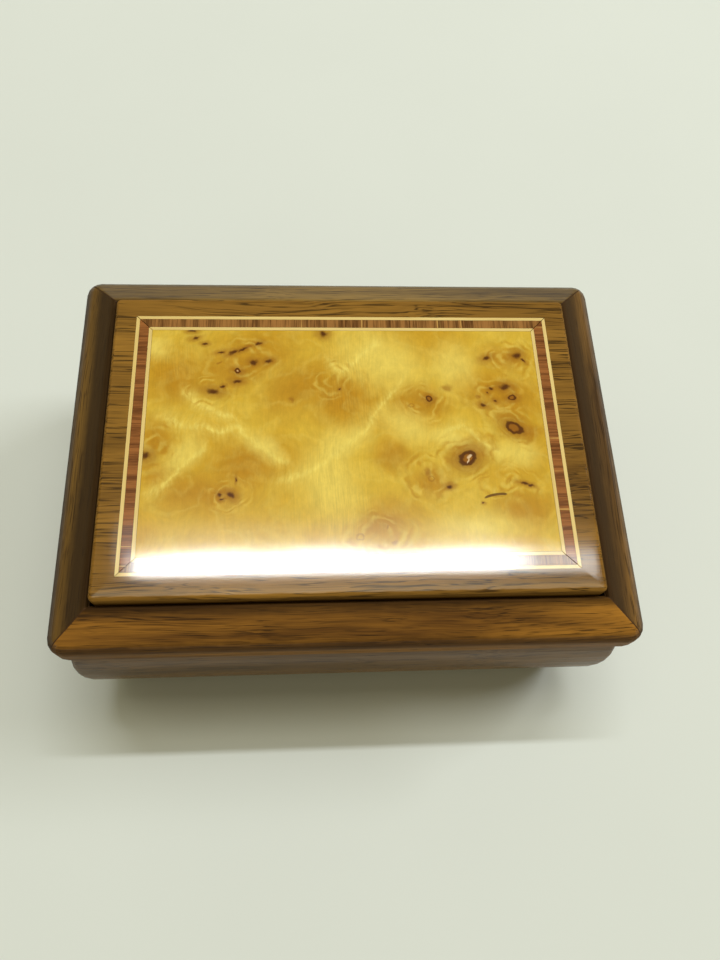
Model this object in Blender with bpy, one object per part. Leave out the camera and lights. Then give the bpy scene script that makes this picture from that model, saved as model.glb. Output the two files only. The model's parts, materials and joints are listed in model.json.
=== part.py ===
"""Musical jewelry box: bowed walnut case, framed and inlaid lid, wind-up movement.

Sizes are in millimetres and are turned into metres where a mesh is made.
X runs along the front, +Y points to the hinge side, +Z points up, and the
origin is the middle of the footprint on the surface that the box stands on.
"""

import math

import bmesh
import bpy
from mathutils import Vector

MM = 0.001

# Fits and clearances
SEAT_GAP = 0.3
VENEER_JOINT = 0.2
RUNNING_GAP = 0.2

# Lid, measured over its widest line
LID_WIDTH = 152.0
LID_DEPTH = 110.8
LID_CORNER = 4.5
LID_EDGE_DROP = 5.1
LID_NOSE_RADIUS = 4.6
NOSE_TURN_DEG = 66.0
LID_ARRIS = 0.7
FRAME_SLOPE_END = 9.9
FRAME_SLOPE_RISE = 7.3
GROOVE_FLOOR_RISE = 6.1
PANEL_SETBACK = 11.3
LEDGE_REACH = 4.0
LEDGE_TOP = 6.7

# Raised panel of the lid and what is laid into it
PANEL_CORNER = 1.4
PANEL_SHOULDER = 1.6
PANEL_SHOULDER_DROP = 0.15
PANEL_EDGE_DROP = 1.1
FIELD_RISE = 10.15
INLAY_SETBACK = 17.35
LINE_WIDTH = 1.07
BAND_WIDTH = 2.5
VENEER = 0.6
LINING_PAD = 3.0

# Bowed body
BODY_HEIGHT = 54.3
BODY_CORNER = 1.8
BOW_RADIUS = 71.7
BOW_HEIGHT = 30.2
BOW_SETBACK = 0.1
BOW_STEPS = 10
WALL_TOP_WIDTH = 8.0
WALL_ARRIS = 0.5

# Base panel, let into a groove of the walls
BASE_RECESS = 14.0
BASE_THICKNESS = 3.0
BASE_GROOVE = 2.5
FELT = 0.7
KEY_HOLE_RADIUS = 5.0

# Jewelry compartment
CARD = 1.5
CARD_DROP = 1.5
ROLL_COUNT = 3
ROLL_WIDTH = 12.0
ROLL_HEIGHT = 11.0
ROLL_PINCH = 0.8

# Movement bay, partition and clear cover
BAY_WIDTH = 44.0
PARTITION = 3.5
PARTITION_TOP = 50.0
COVER = 2.0
COVER_HEIGHT = 46.0
COVER_SEAT = 1.5
LEDGE_WIDTH = 4.0
LEDGE_HEIGHT = 5.0
COVER_NOTCH_RADIUS = 8.0

# Hinges
HINGE_SPREAD = 38.0
HINGE_LENGTH = 22.0
LEAF = 0.8
LEAF_REACH = 7.9
BARREL_RADIUS = 1.6
PIN_RADIUS = 0.7
PIN_BEHIND_WALL = 1.35
KNUCKLES = 5
SCREW_SPREAD = 6.5
SCREW_HEAD = 1.6
SCREW_SHANK = 0.8
SCREW_LENGTH = 6.0
SCREW_SLOT = 0.4

# Movement bedplate and comb bed
BEDPLATE_WIDTH = 38.0
BEDPLATE_FRONT = 25.5
BEDPLATE_BACK = 27.0
BEDPLATE = 2.0
BEDPLATE_CORNER = 3.0
MOUNT_INSET = 4.0
SCREW_HEAD_HEIGHT = 1.2
COMB_BED_WIDTH = 6.2

# Spring, winding arbor and great wheel
SPRING_Y = -13.5
CYLINDER_OFFSET = -2.0
HOUSING_RADIUS = 11.2
HOUSING_HEIGHT = 7.9
HOUSING_WALL = 0.8
ARBOR_RADIUS = 1.6
ARBOR_END = 0.6
SPRING_TURNS = 5
SPRING_STRIP = 0.35
GREAT_TEETH = 36
GREAT_MODULE = 0.6
GREAT_DISC = 1.4
GREAT_FACE = 1.6
PINION_TEETH = 9
TOOTH_SHARE = 0.42
ADDENDUM = 0.9
DEDENDUM = 1.2
TIP_SLOPE = math.tan(math.radians(20))
ROOT_SLOPE = math.tan(math.radians(11))

# Pinned cylinder and its wheel
NOTES = 18
NOTE_PITCH = 1.0
NOTE_MARGIN = 0.2
SIDE_PLAY = 0.5
PINS_PER_NOTE = 4
PIN_PLACES = 60
CYLINDER_RADIUS = 6.5
CYLINDER_SHAFT = 1.0
PIN_LENGTH = 0.7
PIN_WIDTH = 0.35
WHEEL_TEETH = 30
WHEEL_MODULE = 0.38
WHEEL_FACE = 1.2

# Comb
COMB_PLATE = 1.0
COMB_TOOTH = 0.7
COMB_REACH = 7.6
COMB_CLEARANCE = 0.25

# Governor: pinion, worm wheel, worm and fly
GOVERNOR_TEETH = 10
GOVERNOR_DROP_DEG = 40.0
GOVERNOR_SHAFT = 0.6
WORM_WHEEL_TEETH = 16
WORM_STARTS = 2
WORM_MODULE = 0.4
WORM_PITCH_RADIUS = 1.3
WORM_WHEEL_FACE = 1.6
WORM_LENGTH = 5.0
FLY_RADIUS = 4.6
FLY_HEIGHT = 5.4
FLY_HUB = 1.5
FLY_HUB_RISE = 0.5
FLY_VANE = 0.8
BRACKET = 1.2
BRACKET_EAR = 2.3
BRACKET_FOOT = 4.5
BRACKET_FOOT_HEIGHT = 2.0
FRAME_MARGIN = 2.6
ARM_HALF_WIDTH = 2.2
ARM_REACH = 1.6

# Stop lever and key
LEVER_THICKNESS = 1.2
LEVER_WIDTH = 1.4
LEVER_PIVOT_X = 6.0
LEVER_EYE = 2.0
LEVER_STUD = 0.9
KEY_SPAN = 6.0
KEY_LOBE = 4.2
KEY_HOLE = 2.1
KEY_THICKNESS = 2.2
KEY_HUB = 3.2
KEY_SOCKET = 5.0
KEY_WEB = 1.0

# Derived places
LID_BOTTOM = BODY_HEIGHT + SEAT_GAP
LID_LINE = LID_BOTTOM + LID_EDGE_DROP
FLOOR_TOP = BASE_RECESS + BASE_THICKNESS
HALF_X = LID_WIDTH / 2
HALF_Y = LID_DEPTH / 2


def bow_setback(height):
    """Setback of the bowed wall from the lid's widest line, at a height."""
    drop = height - BOW_HEIGHT
    return BOW_SETBACK + BOW_RADIUS - math.sqrt(BOW_RADIUS ** 2 - drop ** 2)


WALL_INNER = bow_setback(BODY_HEIGHT) + WALL_TOP_WIDTH
ROOM_X = HALF_X - WALL_INNER
ROOM_Y = HALF_Y - WALL_INNER
HINGE_Y = HALF_Y - bow_setback(BODY_HEIGHT) + PIN_BEHIND_WALL
HINGE_Z = BODY_HEIGHT + SEAT_GAP / 2
PARTITION_LEFT = -ROOM_X + BAY_WIDTH
TRAY_LEFT = PARTITION_LEFT + PARTITION

MOVE_X = -ROOM_X + BAY_WIDTH / 2
BED_BOTTOM = FLOOR_TOP + SEAT_GAP
BED_TOP = BED_BOTTOM + BEDPLATE
AXIS_X = MOVE_X + CYLINDER_OFFSET
GREAT_PITCH_RADIUS = GREAT_TEETH * GREAT_MODULE / 2
PINION_PITCH_RADIUS = PINION_TEETH * GREAT_MODULE / 2
GREAT_BOTTOM = BED_TOP + SEAT_GAP + HOUSING_HEIGHT + SEAT_GAP
GREAT_TOP = GREAT_BOTTOM + GREAT_DISC
GREAT_PITCH_PLANE = GREAT_TOP + DEDENDUM * GREAT_MODULE
CYLINDER_Z = GREAT_PITCH_PLANE + PINION_PITCH_RADIUS
PINION_START = SPRING_Y + GREAT_PITCH_RADIUS - GREAT_FACE / 2
PINION_END = SPRING_Y + GREAT_PITCH_RADIUS + GREAT_FACE / 2
FRONT_BRACKET_START = PINION_END + SEAT_GAP
FRONT_BRACKET_END = FRONT_BRACKET_START + BRACKET
CYLINDER_START = FRONT_BRACKET_END + SIDE_PLAY
CYLINDER_END = CYLINDER_START + NOTES * NOTE_PITCH + NOTE_MARGIN
WHEEL_START = CYLINDER_END + SIDE_PLAY
WHEEL_END = WHEEL_START + WHEEL_FACE
WHEEL_PITCH_RADIUS = WHEEL_TEETH * WHEEL_MODULE / 2
GOVERNOR_PITCH_RADIUS = GOVERNOR_TEETH * WHEEL_MODULE / 2
GOVERNOR_ANGLE = math.radians(180.0 + GOVERNOR_DROP_DEG)
GOVERNOR_X = AXIS_X + (WHEEL_PITCH_RADIUS + GOVERNOR_PITCH_RADIUS) * math.cos(GOVERNOR_ANGLE)
GOVERNOR_Z = CYLINDER_Z + (WHEEL_PITCH_RADIUS + GOVERNOR_PITCH_RADIUS) * math.sin(GOVERNOR_ANGLE)
REAR_BRACKET_START = WHEEL_END + SIDE_PLAY
REAR_BRACKET_END = REAR_BRACKET_START + BRACKET
WORM_WHEEL_RADIUS = WORM_WHEEL_TEETH * WORM_MODULE / 2
WORM_WHEEL_START = REAR_BRACKET_END + SIDE_PLAY
WORM_Y = WORM_WHEEL_START + WORM_WHEEL_FACE / 2
WORM_X = GOVERNOR_X - WORM_WHEEL_RADIUS - WORM_PITCH_RADIUS
WORM_TIP = WORM_PITCH_RADIUS + ADDENDUM * WORM_MODULE
FRAME_START = WORM_Y + WORM_TIP + SEAT_GAP
FRAME_ARM_BOTTOM = GOVERNOR_Z + WORM_WHEEL_RADIUS + ADDENDUM * WORM_MODULE + SEAT_GAP
FRAME_ARM_TOP = FRAME_ARM_BOTTOM + BRACKET
FLY_BOTTOM = FRAME_ARM_TOP + SEAT_GAP
FLY_TOP = FLY_BOTTOM + FLY_HEIGHT
FLY_HUB_TOP = FLY_TOP + FLY_HUB_RISE
LEVER_Z = FLY_HUB_TOP + SEAT_GAP + LEVER_WIDTH / 2
LEVER_START = REAR_BRACKET_END + SEAT_GAP
PIVOT_X = MOVE_X + LEVER_PIVOT_X
LINING_UNDER = LID_BOTTOM + LEDGE_TOP - LINING_PAD
COMB_TIP_X = AXIS_X + CYLINDER_RADIUS + PIN_LENGTH + COMB_CLEARANCE
COMB_ROOT_X = COMB_TIP_X + COMB_REACH
KEY_TOP = BASE_RECESS - SEAT_GAP - FELT - SEAT_GAP
LEDGE_INNER = PANEL_SETBACK + LEDGE_REACH
COMB_FRONT = CYLINDER_START
COMB_BACK = CYLINDER_END
COMB_LOW = CYLINDER_Z - COMB_PLATE / 2
COMB_SCREW_X = COMB_ROOT_X + COMB_BED_WIDTH / 2

# Finish of each kind of piece: colour, roughness, metallic
FINISHES = {
    "walnut_body": ((0.075, 0.032, 0.014), 0.22, 0.0),
    "walnut_frame": ((0.155, 0.062, 0.022), 0.20, 0.0),
    "walnut_panel": ((0.290, 0.140, 0.040), 0.18, 0.0),
    "burl": ((0.560, 0.360, 0.085), 0.15, 0.0),
    "boxwood": ((0.640, 0.430, 0.190), 0.18, 0.0),
    "cross_band": ((0.270, 0.090, 0.025), 0.18, 0.0),
    "plywood": ((0.480, 0.300, 0.150), 0.60, 0.0),
    "green_felt": ((0.030, 0.110, 0.050), 0.95, 0.0),
    "velvet": ((0.240, 0.012, 0.020), 0.90, 0.0),
    "clear_acrylic": ((0.850, 0.870, 0.860), 0.05, 0.0),
    "brass": ((0.780, 0.570, 0.220), 0.25, 1.0),
    "steel": ((0.560, 0.570, 0.580), 0.25, 1.0),
    "cast_zinc": ((0.420, 0.420, 0.410), 0.45, 1.0),
    "white_nylon": ((0.800, 0.780, 0.700), 0.40, 0.0),
}


def clear_scene():
    for item in list(bpy.data.objects):
        bpy.data.objects.remove(item, do_unlink=True)


def give_finish(item, finish):
    colour, roughness, metallic = FINISHES[finish]
    material = bpy.data.materials.new(item.name)
    material.use_nodes = True
    shader = material.node_tree.nodes["Principled BSDF"]
    shader.inputs["Base Color"].default_value = (*colour, 1.0)
    shader.inputs["Roughness"].default_value = roughness
    shader.inputs["Metallic"].default_value = metallic
    item.data.materials.append(material)


def make_object(name, mesh_data, finish=None, smooth_deg=35.0):
    """Turn a bmesh in millimetres into a named object in metres."""
    bmesh.ops.remove_doubles(mesh_data, verts=mesh_data.verts, dist=1e-4)
    bmesh.ops.recalc_face_normals(mesh_data, faces=mesh_data.faces)
    bmesh.ops.scale(mesh_data, vec=(MM, MM, MM), verts=mesh_data.verts)
    mesh = bpy.data.meshes.new(name)
    mesh_data.to_mesh(mesh)
    mesh_data.free()
    mesh.shade_smooth()
    mesh.set_sharp_from_angle(angle=math.radians(smooth_deg))
    item = bpy.data.objects.new(name, mesh)
    bpy.context.scene.collection.objects.link(item)
    if finish:
        give_finish(item, finish)
    return item


def place(axis, across, up, along):
    """Point whose section coordinates are across and up, and which lies along an axis."""
    if axis == "X":
        return (along, across, up)
    if axis == "Y":
        return (across, along, up)
    return (across, up, along)


def add_prism(mesh_data, outline, axis, start, end):
    """Extrude a closed outline along an axis."""
    low = [mesh_data.verts.new(place(axis, a, b, start)) for a, b in outline]
    high = [mesh_data.verts.new(place(axis, a, b, end)) for a, b in outline]
    count = len(outline)
    for i in range(count):
        j = (i + 1) % count
        mesh_data.faces.new((low[i], low[j], high[j], high[i]))
    mesh_data.faces.new(list(reversed(low)))
    mesh_data.faces.new(high)


def add_turned(mesh_data, profile, axis, centre, sides):
    """Turn a closed profile of (radius, height) points about an axis through a centre."""
    rings = []
    for radius, height in profile:
        ring = []
        for k in range(sides):
            angle = 2 * math.pi * k / sides
            a = centre[0] + radius * math.cos(angle)
            b = centre[1] + radius * math.sin(angle)
            ring.append(mesh_data.verts.new(place(axis, a, b, height)))
        rings.append(ring)
    for i in range(len(rings)):
        ring = rings[i]
        following = rings[(i + 1) % len(rings)]
        if profile[i][0] == 0 and profile[(i + 1) % len(rings)][0] == 0:
            continue
        for k in range(sides):
            n = (k + 1) % sides
            mesh_data.faces.new((ring[k], ring[n], following[n], following[k]))


def box_outline(a0, a1, b0, b1):
    return [(a0, b0), (a1, b0), (a1, b1), (a0, b1)]


def rounded_outline(a0, a1, b0, b1, radius, steps=4):
    """Rectangle with round corners."""
    points = []
    corners = [(a1 - radius, b0 + radius, -90), (a1 - radius, b1 - radius, 0),
               (a0 + radius, b1 - radius, 90), (a0 + radius, b0 + radius, 180)]
    for ca, cb, first in corners:
        for k in range(steps + 1):
            angle = math.radians(first + 90.0 * k / steps)
            points.append((ca + radius * math.cos(angle), cb + radius * math.sin(angle)))
    return points


def arc(centre, radius, first_deg, last_deg, steps):
    points = []
    for k in range(steps + 1):
        angle = math.radians(first_deg + (last_deg - first_deg) * k / steps)
        points.append((centre[0] + radius * math.cos(angle), centre[1] + radius * math.sin(angle)))
    return points


def make_block(name, x_range, y_range, z_range, finish=None):
    mesh_data = bmesh.new()
    add_prism(mesh_data, box_outline(*x_range, *y_range), "Z", *z_range)
    return make_object(name, mesh_data, finish)


def make_prism(name, outline, axis, start, end, finish=None):
    mesh_data = bmesh.new()
    add_prism(mesh_data, outline, axis, start, end)
    return make_object(name, mesh_data, finish)


def make_turned(name, profile, axis, centre, sides, finish=None):
    mesh_data = bmesh.new()
    add_turned(mesh_data, profile, axis, centre, sides)
    return make_object(name, mesh_data, finish)


def rod_profile(radius, start, end):
    return [(0, start), (radius, start), (radius, end), (0, end)]


def combine(item, tool, operation):
    """Cut a piece with a hidden tool body, or join the tool body to it."""
    tool.hide_render = True
    tool.display_type = "WIRE"
    change = item.modifiers.new(tool.name, "BOOLEAN")
    change.operation = operation
    change.solver = "EXACT"
    change.object = tool


def cut(item, tool):
    combine(item, tool, "DIFFERENCE")


def join(item, tool):
    combine(item, tool, "UNION")


def joint_at(name, point, items):
    """Hang pieces on an empty that stands on their joint's axis."""
    pivot = bpy.data.objects.new(name, None)
    pivot.empty_display_size = 5 * MM
    pivot.location = Vector(point) * MM
    bpy.context.scene.collection.objects.link(pivot)
    bpy.context.view_layer.update()
    for item in items:
        item.parent = pivot
        item.matrix_parent_inverse = pivot.matrix_world.inverted()
    return pivot


def add_rows(mesh_data, rows, closed, steps=4):
    """Loft plan outlines given as (setback, height, corner radius) rows."""
    rings = []
    for setback, height, radius in rows:
        outline = rounded_outline(-HALF_X + setback, HALF_X - setback,
                                  -HALF_Y + setback, HALF_Y - setback, radius, steps)
        rings.append([mesh_data.verts.new((x, y, height)) for x, y in outline])
    count = len(rings[0])
    pairs = list(zip(rings, rings[1:]))
    if closed:
        pairs.append((rings[-1], rings[0]))
    else:
        mesh_data.faces.new(list(reversed(rings[0])))
        mesh_data.faces.new(rings[-1])
    for ring, following in pairs:
        for k in range(count):
            n = (k + 1) % count
            mesh_data.faces.new((ring[k], ring[n], following[n], following[k]))
    bmesh.ops.remove_doubles(mesh_data, verts=mesh_data.verts, dist=1e-4)


# For each side: the plan corner and the outward normal of both its mitres
MITRES = {
    "front": (((1, -1), (1, 1)), ((-1, -1), (-1, 1))),
    "back": (((1, 1), (1, -1)), ((-1, 1), (-1, -1))),
    "right": (((1, -1), (-1, -1)), ((1, 1), (-1, 1))),
    "left": (((-1, -1), (1, -1)), ((-1, 1), (1, 1))),
}


def make_mitred(name, rows, side, finish):
    """One side of a mitred ring, held half a seat gap back from each mitre."""
    mesh_data = bmesh.new()
    add_rows(mesh_data, rows, closed=True)
    for corner, outward in MITRES[side]:
        normal = Vector((*outward, 0)).normalized()
        point = Vector((corner[0] * HALF_X, corner[1] * HALF_Y, 0)) - normal * SEAT_GAP / 2
        everything = mesh_data.verts[:] + mesh_data.edges[:] + mesh_data.faces[:]
        bmesh.ops.bisect_plane(mesh_data, geom=everything, dist=1e-5,
                               plane_co=point, plane_no=normal, clear_outer=True)
        rim = [edge for edge in mesh_data.edges if edge.is_boundary]
        bmesh.ops.holes_fill(mesh_data, edges=rim, sides=0)
    return make_object(name, mesh_data, finish)


def wall_rows():
    """Section of the case walls: bowed outside, straight inside, grooved for the base."""
    rows = [(bow_setback(0) + WALL_ARRIS, 0, BODY_CORNER - WALL_ARRIS)]
    low = WALL_ARRIS
    high = BODY_HEIGHT - WALL_ARRIS
    for k in range(BOW_STEPS + 1):
        height = low + (high - low) * k / BOW_STEPS
        rows.append((bow_setback(height), height, BODY_CORNER))
    rows.append((bow_setback(BODY_HEIGHT) + WALL_ARRIS, BODY_HEIGHT, BODY_CORNER - WALL_ARRIS))
    groove_inner = WALL_INNER - BASE_GROOVE
    rows.append((WALL_INNER, BODY_HEIGHT, 0))
    rows.append((WALL_INNER, FLOOR_TOP + SEAT_GAP, 0))
    rows.append((groove_inner, FLOOR_TOP + SEAT_GAP, 0))
    rows.append((groove_inner, BASE_RECESS - SEAT_GAP, 0))
    rows.append((WALL_INNER, BASE_RECESS - SEAT_GAP, 0))
    rows.append((WALL_INNER, 0, 0))
    return rows


def make_case():
    pieces = {}
    for side in MITRES:
        pieces[side] = make_mitred("body_" + side + "_wall", wall_rows(), side, "walnut_body")
    return pieces


def screw_hole(name, x, y, low, high):
    return make_turned(name, rod_profile(SCREW_SHANK + RUNNING_GAP, low, high), "Z", (x, y), 12)


def make_base():
    reach_x = ROOM_X + BASE_GROOVE - SEAT_GAP
    reach_y = ROOM_Y + BASE_GROOVE - SEAT_GAP
    panel = make_block("base_panel", (-reach_x, reach_x), (-reach_y, reach_y),
                       (BASE_RECESS, FLOOR_TOP), "plywood")
    key_hole = make_turned("cut_key_hole", rod_profile(KEY_HOLE_RADIUS, 0, BED_TOP), "Z",
                           (AXIS_X, SPRING_Y), 24)
    cut(panel, key_hole)
    felt_top = BASE_RECESS - SEAT_GAP
    felt = make_block("base_felt", (-ROOM_X + SEAT_GAP, ROOM_X - SEAT_GAP),
                      (-ROOM_Y + SEAT_GAP, ROOM_Y - SEAT_GAP), (felt_top - FELT, felt_top), "green_felt")
    cut(felt, key_hole)
    for number, (x, y) in enumerate(mounting_places(), start=1):
        hole = screw_hole("cut_mounting_%d" % number, x, y, 0, BED_TOP + 1)
        head = make_turned("cut_mounting_head_%d" % number,
                           rod_profile(SCREW_HEAD + SEAT_GAP, 0, felt_top), "Z", (x, y), 16)
        cut(panel, hole)
        cut(felt, head)
    return panel, felt


def mounting_places():
    """Middle of each screw that holds the movement, in from two corners of the bedplate."""
    return ((MOVE_X - BEDPLATE_WIDTH / 2 + MOUNT_INSET, -BEDPLATE_FRONT + MOUNT_INSET),
            (MOVE_X + BEDPLATE_WIDTH / 2 - MOUNT_INSET, BEDPLATE_BACK - MOUNT_INSET))


def make_mounting_screws():
    """Pan-head screws that hold the movement down from under the base panel."""
    top = BED_TOP - RUNNING_GAP
    head_top = BASE_RECESS - SEAT_GAP
    head_bottom = head_top - SCREW_HEAD_HEIGHT
    screws = []
    for number, (x, y) in enumerate(mounting_places(), start=1):
        profile = [(0, head_bottom), (SCREW_HEAD - 0.3, head_bottom), (SCREW_HEAD, head_bottom + 0.4),
                   (SCREW_HEAD, head_top), (SCREW_SHANK, head_top), (SCREW_SHANK, top), (0, top)]
        screw = make_turned("mounting_screw_%d" % number, profile, "Z", (x, y), 12, "steel")
        slot = make_block("cut_mounting_slot_%d" % number, (x - 3, x + 3),
                          (y - SCREW_SLOT / 2, y + SCREW_SLOT / 2), (head_bottom - 1, head_bottom + 0.5))
        cut(screw, slot)
        screws.append(screw)
    return screws


def make_linings():
    """Velvet-covered cards of the jewelry compartment."""
    floor_low = FLOOR_TOP + SEAT_GAP
    floor_high = floor_low + CARD
    card_low = floor_high + SEAT_GAP
    card_high = BODY_HEIGHT - CARD_DROP
    left = TRAY_LEFT + SEAT_GAP
    right = ROOM_X - SEAT_GAP
    outer_y = ROOM_Y - SEAT_GAP
    inner_y = outer_y - CARD
    make_block("floor_lining", (left, right), (-outer_y, outer_y), (floor_low, floor_high), "velvet")
    make_block("front_lining", (left, right), (-outer_y, -inner_y), (card_low, card_high), "velvet")
    make_block("back_lining", (left, right), (inner_y, outer_y), (card_low, card_high), "velvet")
    make_block("right_lining", (right - CARD, right), (-inner_y + SEAT_GAP, inner_y - SEAT_GAP),
               (card_low, card_high), "velvet")


def make_ring_rolls():
    """Padded rolls for rings: crowned on top, drawn in at both ends, flat underneath."""
    low = FLOOR_TOP + SEAT_GAP + CARD + SEAT_GAP
    left = TRAY_LEFT + 2 * SEAT_GAP
    right = ROOM_X - 2 * SEAT_GAP - CARD
    back = ROOM_Y - 2 * SEAT_GAP - CARD
    stations = 10
    sides = 14
    for number in range(ROLL_COUNT):
        middle = back - ROLL_WIDTH / 2 - number * (ROLL_WIDTH + SEAT_GAP)
        mesh_data = bmesh.new()
        rings = []
        for i in range(stations + 1):
            share = i / stations
            fullness = 1 - ROLL_PINCH / ROLL_WIDTH * 2 * (2 * share - 1) ** 8
            ring = []
            for k in range(sides + 1):
                angle = math.pi * k / sides
                y = middle + ROLL_WIDTH / 2 * fullness * math.cos(angle)
                z = low + ROLL_HEIGHT * fullness * math.sin(angle) ** 0.7
                ring.append(mesh_data.verts.new((left + (right - left) * share, y, z)))
            rings.append(ring)
        for ring, following in zip(rings, rings[1:]):
            for k in range(sides + 1):
                n = (k + 1) % (sides + 1)
                mesh_data.faces.new((ring[k], ring[n], following[n], following[k]))
        mesh_data.faces.new(list(reversed(rings[0])))
        mesh_data.faces.new(rings[-1])
        make_object("ring_roll_%d" % (number + 1), mesh_data, "velvet", 60)


def make_bay():
    """Partition, cover ledge and clear cover of the movement bay."""
    seat = COVER_HEIGHT - SEAT_GAP
    low = FLOOR_TOP + SEAT_GAP
    reach_y = ROOM_Y - SEAT_GAP
    step_x = PARTITION_LEFT + COVER_SEAT
    outline = [(PARTITION_LEFT, low), (TRAY_LEFT, low), (TRAY_LEFT, PARTITION_TOP),
               (step_x, PARTITION_TOP), (step_x, seat), (PARTITION_LEFT, seat)]
    make_prism("partition", outline, "Y", -reach_y, reach_y, "velvet")
    wall_x = -ROOM_X + SEAT_GAP
    make_block("cover_ledge", (wall_x, wall_x + LEDGE_WIDTH), (-reach_y, reach_y),
               (seat - LEDGE_HEIGHT, seat), "walnut_body")
    cover = make_block("movement_cover", (wall_x, step_x - SEAT_GAP), (-reach_y, reach_y),
                       (COVER_HEIGHT, COVER_HEIGHT + COVER), "clear_acrylic")
    notch = make_turned("cut_cover_notch", rod_profile(COVER_NOTCH_RADIUS, 0, LID_BOTTOM), "Z",
                        (MOVE_X, -reach_y), 32)
    slot = make_block("cut_lever_slot", (WORM_X - LEVER_WIDTH, WORM_X + 2.5 * LEVER_WIDTH),
                      (LEVER_START - 2 * SEAT_GAP, LEVER_START + LEVER_THICKNESS + 2 * SEAT_GAP),
                      (COVER_HEIGHT - 1, COVER_HEIGHT + COVER + 1))
    cut(cover, notch)
    cut(cover, slot)


def frame_rows():
    """Section of the lid's frame: rounded nose, rising slope, groove and panel ledge."""
    points = [(LEDGE_INNER, LID_BOTTOM)]
    points += arc((LID_ARRIS, LID_BOTTOM + LID_ARRIS), LID_ARRIS, 270, 180, 3)
    points += arc((LID_NOSE_RADIUS, LID_LINE), LID_NOSE_RADIUS, 180, 180 - NOSE_TURN_DEG, 6)
    crest = LID_LINE + FRAME_SLOPE_RISE
    groove_floor = LID_LINE + GROOVE_FLOOR_RISE
    points.append((FRAME_SLOPE_END, crest))
    points.append((FRAME_SLOPE_END + 0.45, crest - 0.15))
    points.append((FRAME_SLOPE_END + 0.7, crest - 0.6))
    points.append((FRAME_SLOPE_END + 0.9, groove_floor))
    points.append((PANEL_SETBACK - SEAT_GAP, groove_floor))
    points.append((PANEL_SETBACK - SEAT_GAP, LID_BOTTOM + LEDGE_TOP))
    points.append((LEDGE_INNER, LID_BOTTOM + LEDGE_TOP))
    return [(setback, height, max(LID_CORNER - setback, 0.0)) for setback, height in points]


def panel_corner(setback):
    return max(PANEL_CORNER - (setback - PANEL_SETBACK), 0.0)


def make_lid():
    """Four mitred mouldings round a raised panel."""
    frame = {}
    for side in MITRES:
        frame[side] = make_mitred("lid_frame_" + side, frame_rows(), side, "walnut_frame")
    field = LID_LINE + FIELD_RISE
    underside = LID_BOTTOM + LEDGE_TOP + SEAT_GAP
    points = [(PANEL_SETBACK, underside)]
    round_drop = PANEL_EDGE_DROP - PANEL_SHOULDER_DROP
    for k in range(5):
        angle = math.radians(22.5 * k)
        points.append((PANEL_SETBACK + PANEL_SHOULDER * (1 - math.cos(angle)),
                       field - PANEL_EDGE_DROP + round_drop * math.sin(angle)))
    points.append((INLAY_SETBACK, field))
    points.append((INLAY_SETBACK, field - VENEER - SEAT_GAP))
    rows = [(setback, height, panel_corner(setback)) for setback, height in points]
    mesh_data = bmesh.new()
    add_rows(mesh_data, rows, closed=False, steps=3)
    panel = make_object("lid_panel", mesh_data, "walnut_panel")
    veneers = make_veneers(field)
    mesh_data = bmesh.new()
    edge = LEDGE_INNER + SEAT_GAP
    add_rows(mesh_data, [(edge, LINING_UNDER + 0.4, 1.2), (edge, LID_BOTTOM + LEDGE_TOP, 1.2)],
             closed=False, steps=3)
    lining = make_object("lid_lining", mesh_data, "velvet")
    return frame, [panel, lining] + veneers


def make_veneers(field):
    """Burl field and the three bands laid round it, each a veneer's thickness."""
    half_joint = VENEER_JOINT / 2
    low = field - VENEER
    pieces = []
    start = INLAY_SETBACK
    for name, width, finish in (("inlay_outer_line", LINE_WIDTH, "boxwood"),
                                ("inlay_cross_band", BAND_WIDTH, "cross_band"),
                                ("inlay_inner_line", LINE_WIDTH, "boxwood")):
        outer = start + half_joint
        inner = start + width - half_joint
        mesh_data = bmesh.new()
        add_rows(mesh_data, [(outer, low, 0), (outer, field, 0), (inner, field, 0), (inner, low, 0)],
                 closed=True, steps=1)
        pieces.append(make_object(name, mesh_data, finish))
        start += width
    mesh_data = bmesh.new()
    edge = start + half_joint
    add_rows(mesh_data, [(edge, low, 0), (edge, field, 0)], closed=False, steps=1)
    pieces.append(make_object("burl_field", mesh_data, "burl"))
    return pieces


def knuckle_outline(side):
    """Eye of a hinge leaf with the tongue that joins it to its plate."""
    near = SEAT_GAP / 2
    far = near + LEAF
    near_angle = math.degrees(math.asin(near / BARREL_RADIUS))
    far_angle = math.degrees(math.asin(far / BARREL_RADIUS))
    points = arc((0, 0), BARREL_RADIUS, 180 + near_angle, -180 + far_angle, 16)
    points += [(-BARREL_RADIUS - 3 * SEAT_GAP, -far), (-BARREL_RADIUS - 3 * SEAT_GAP, -near)]
    return [(HINGE_Y + y, HINGE_Z + side * z) for y, z in points]


def hinge_screw_places(x):
    y = HINGE_Y - BARREL_RADIUS - SEAT_GAP - LEAF_REACH / 2
    return ((x - SCREW_SPREAD, y), (x + SCREW_SPREAD, y))


def screw_profile(face, side, clearance=0.0):
    """Countersunk screw driven from a leaf's face, down with side -1 or up with side 1."""
    head = SCREW_HEAD + clearance
    shank = SCREW_SHANK + clearance
    rim = 0.15
    cone = SCREW_HEAD - SCREW_SHANK
    tip = SCREW_LENGTH + clearance
    steps = [(0, -clearance), (head, -clearance), (head, rim), (shank, rim + cone),
             (shank, tip - SCREW_SHANK), (0, tip)]
    return [(radius, face + side * depth) for radius, depth in steps]


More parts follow.
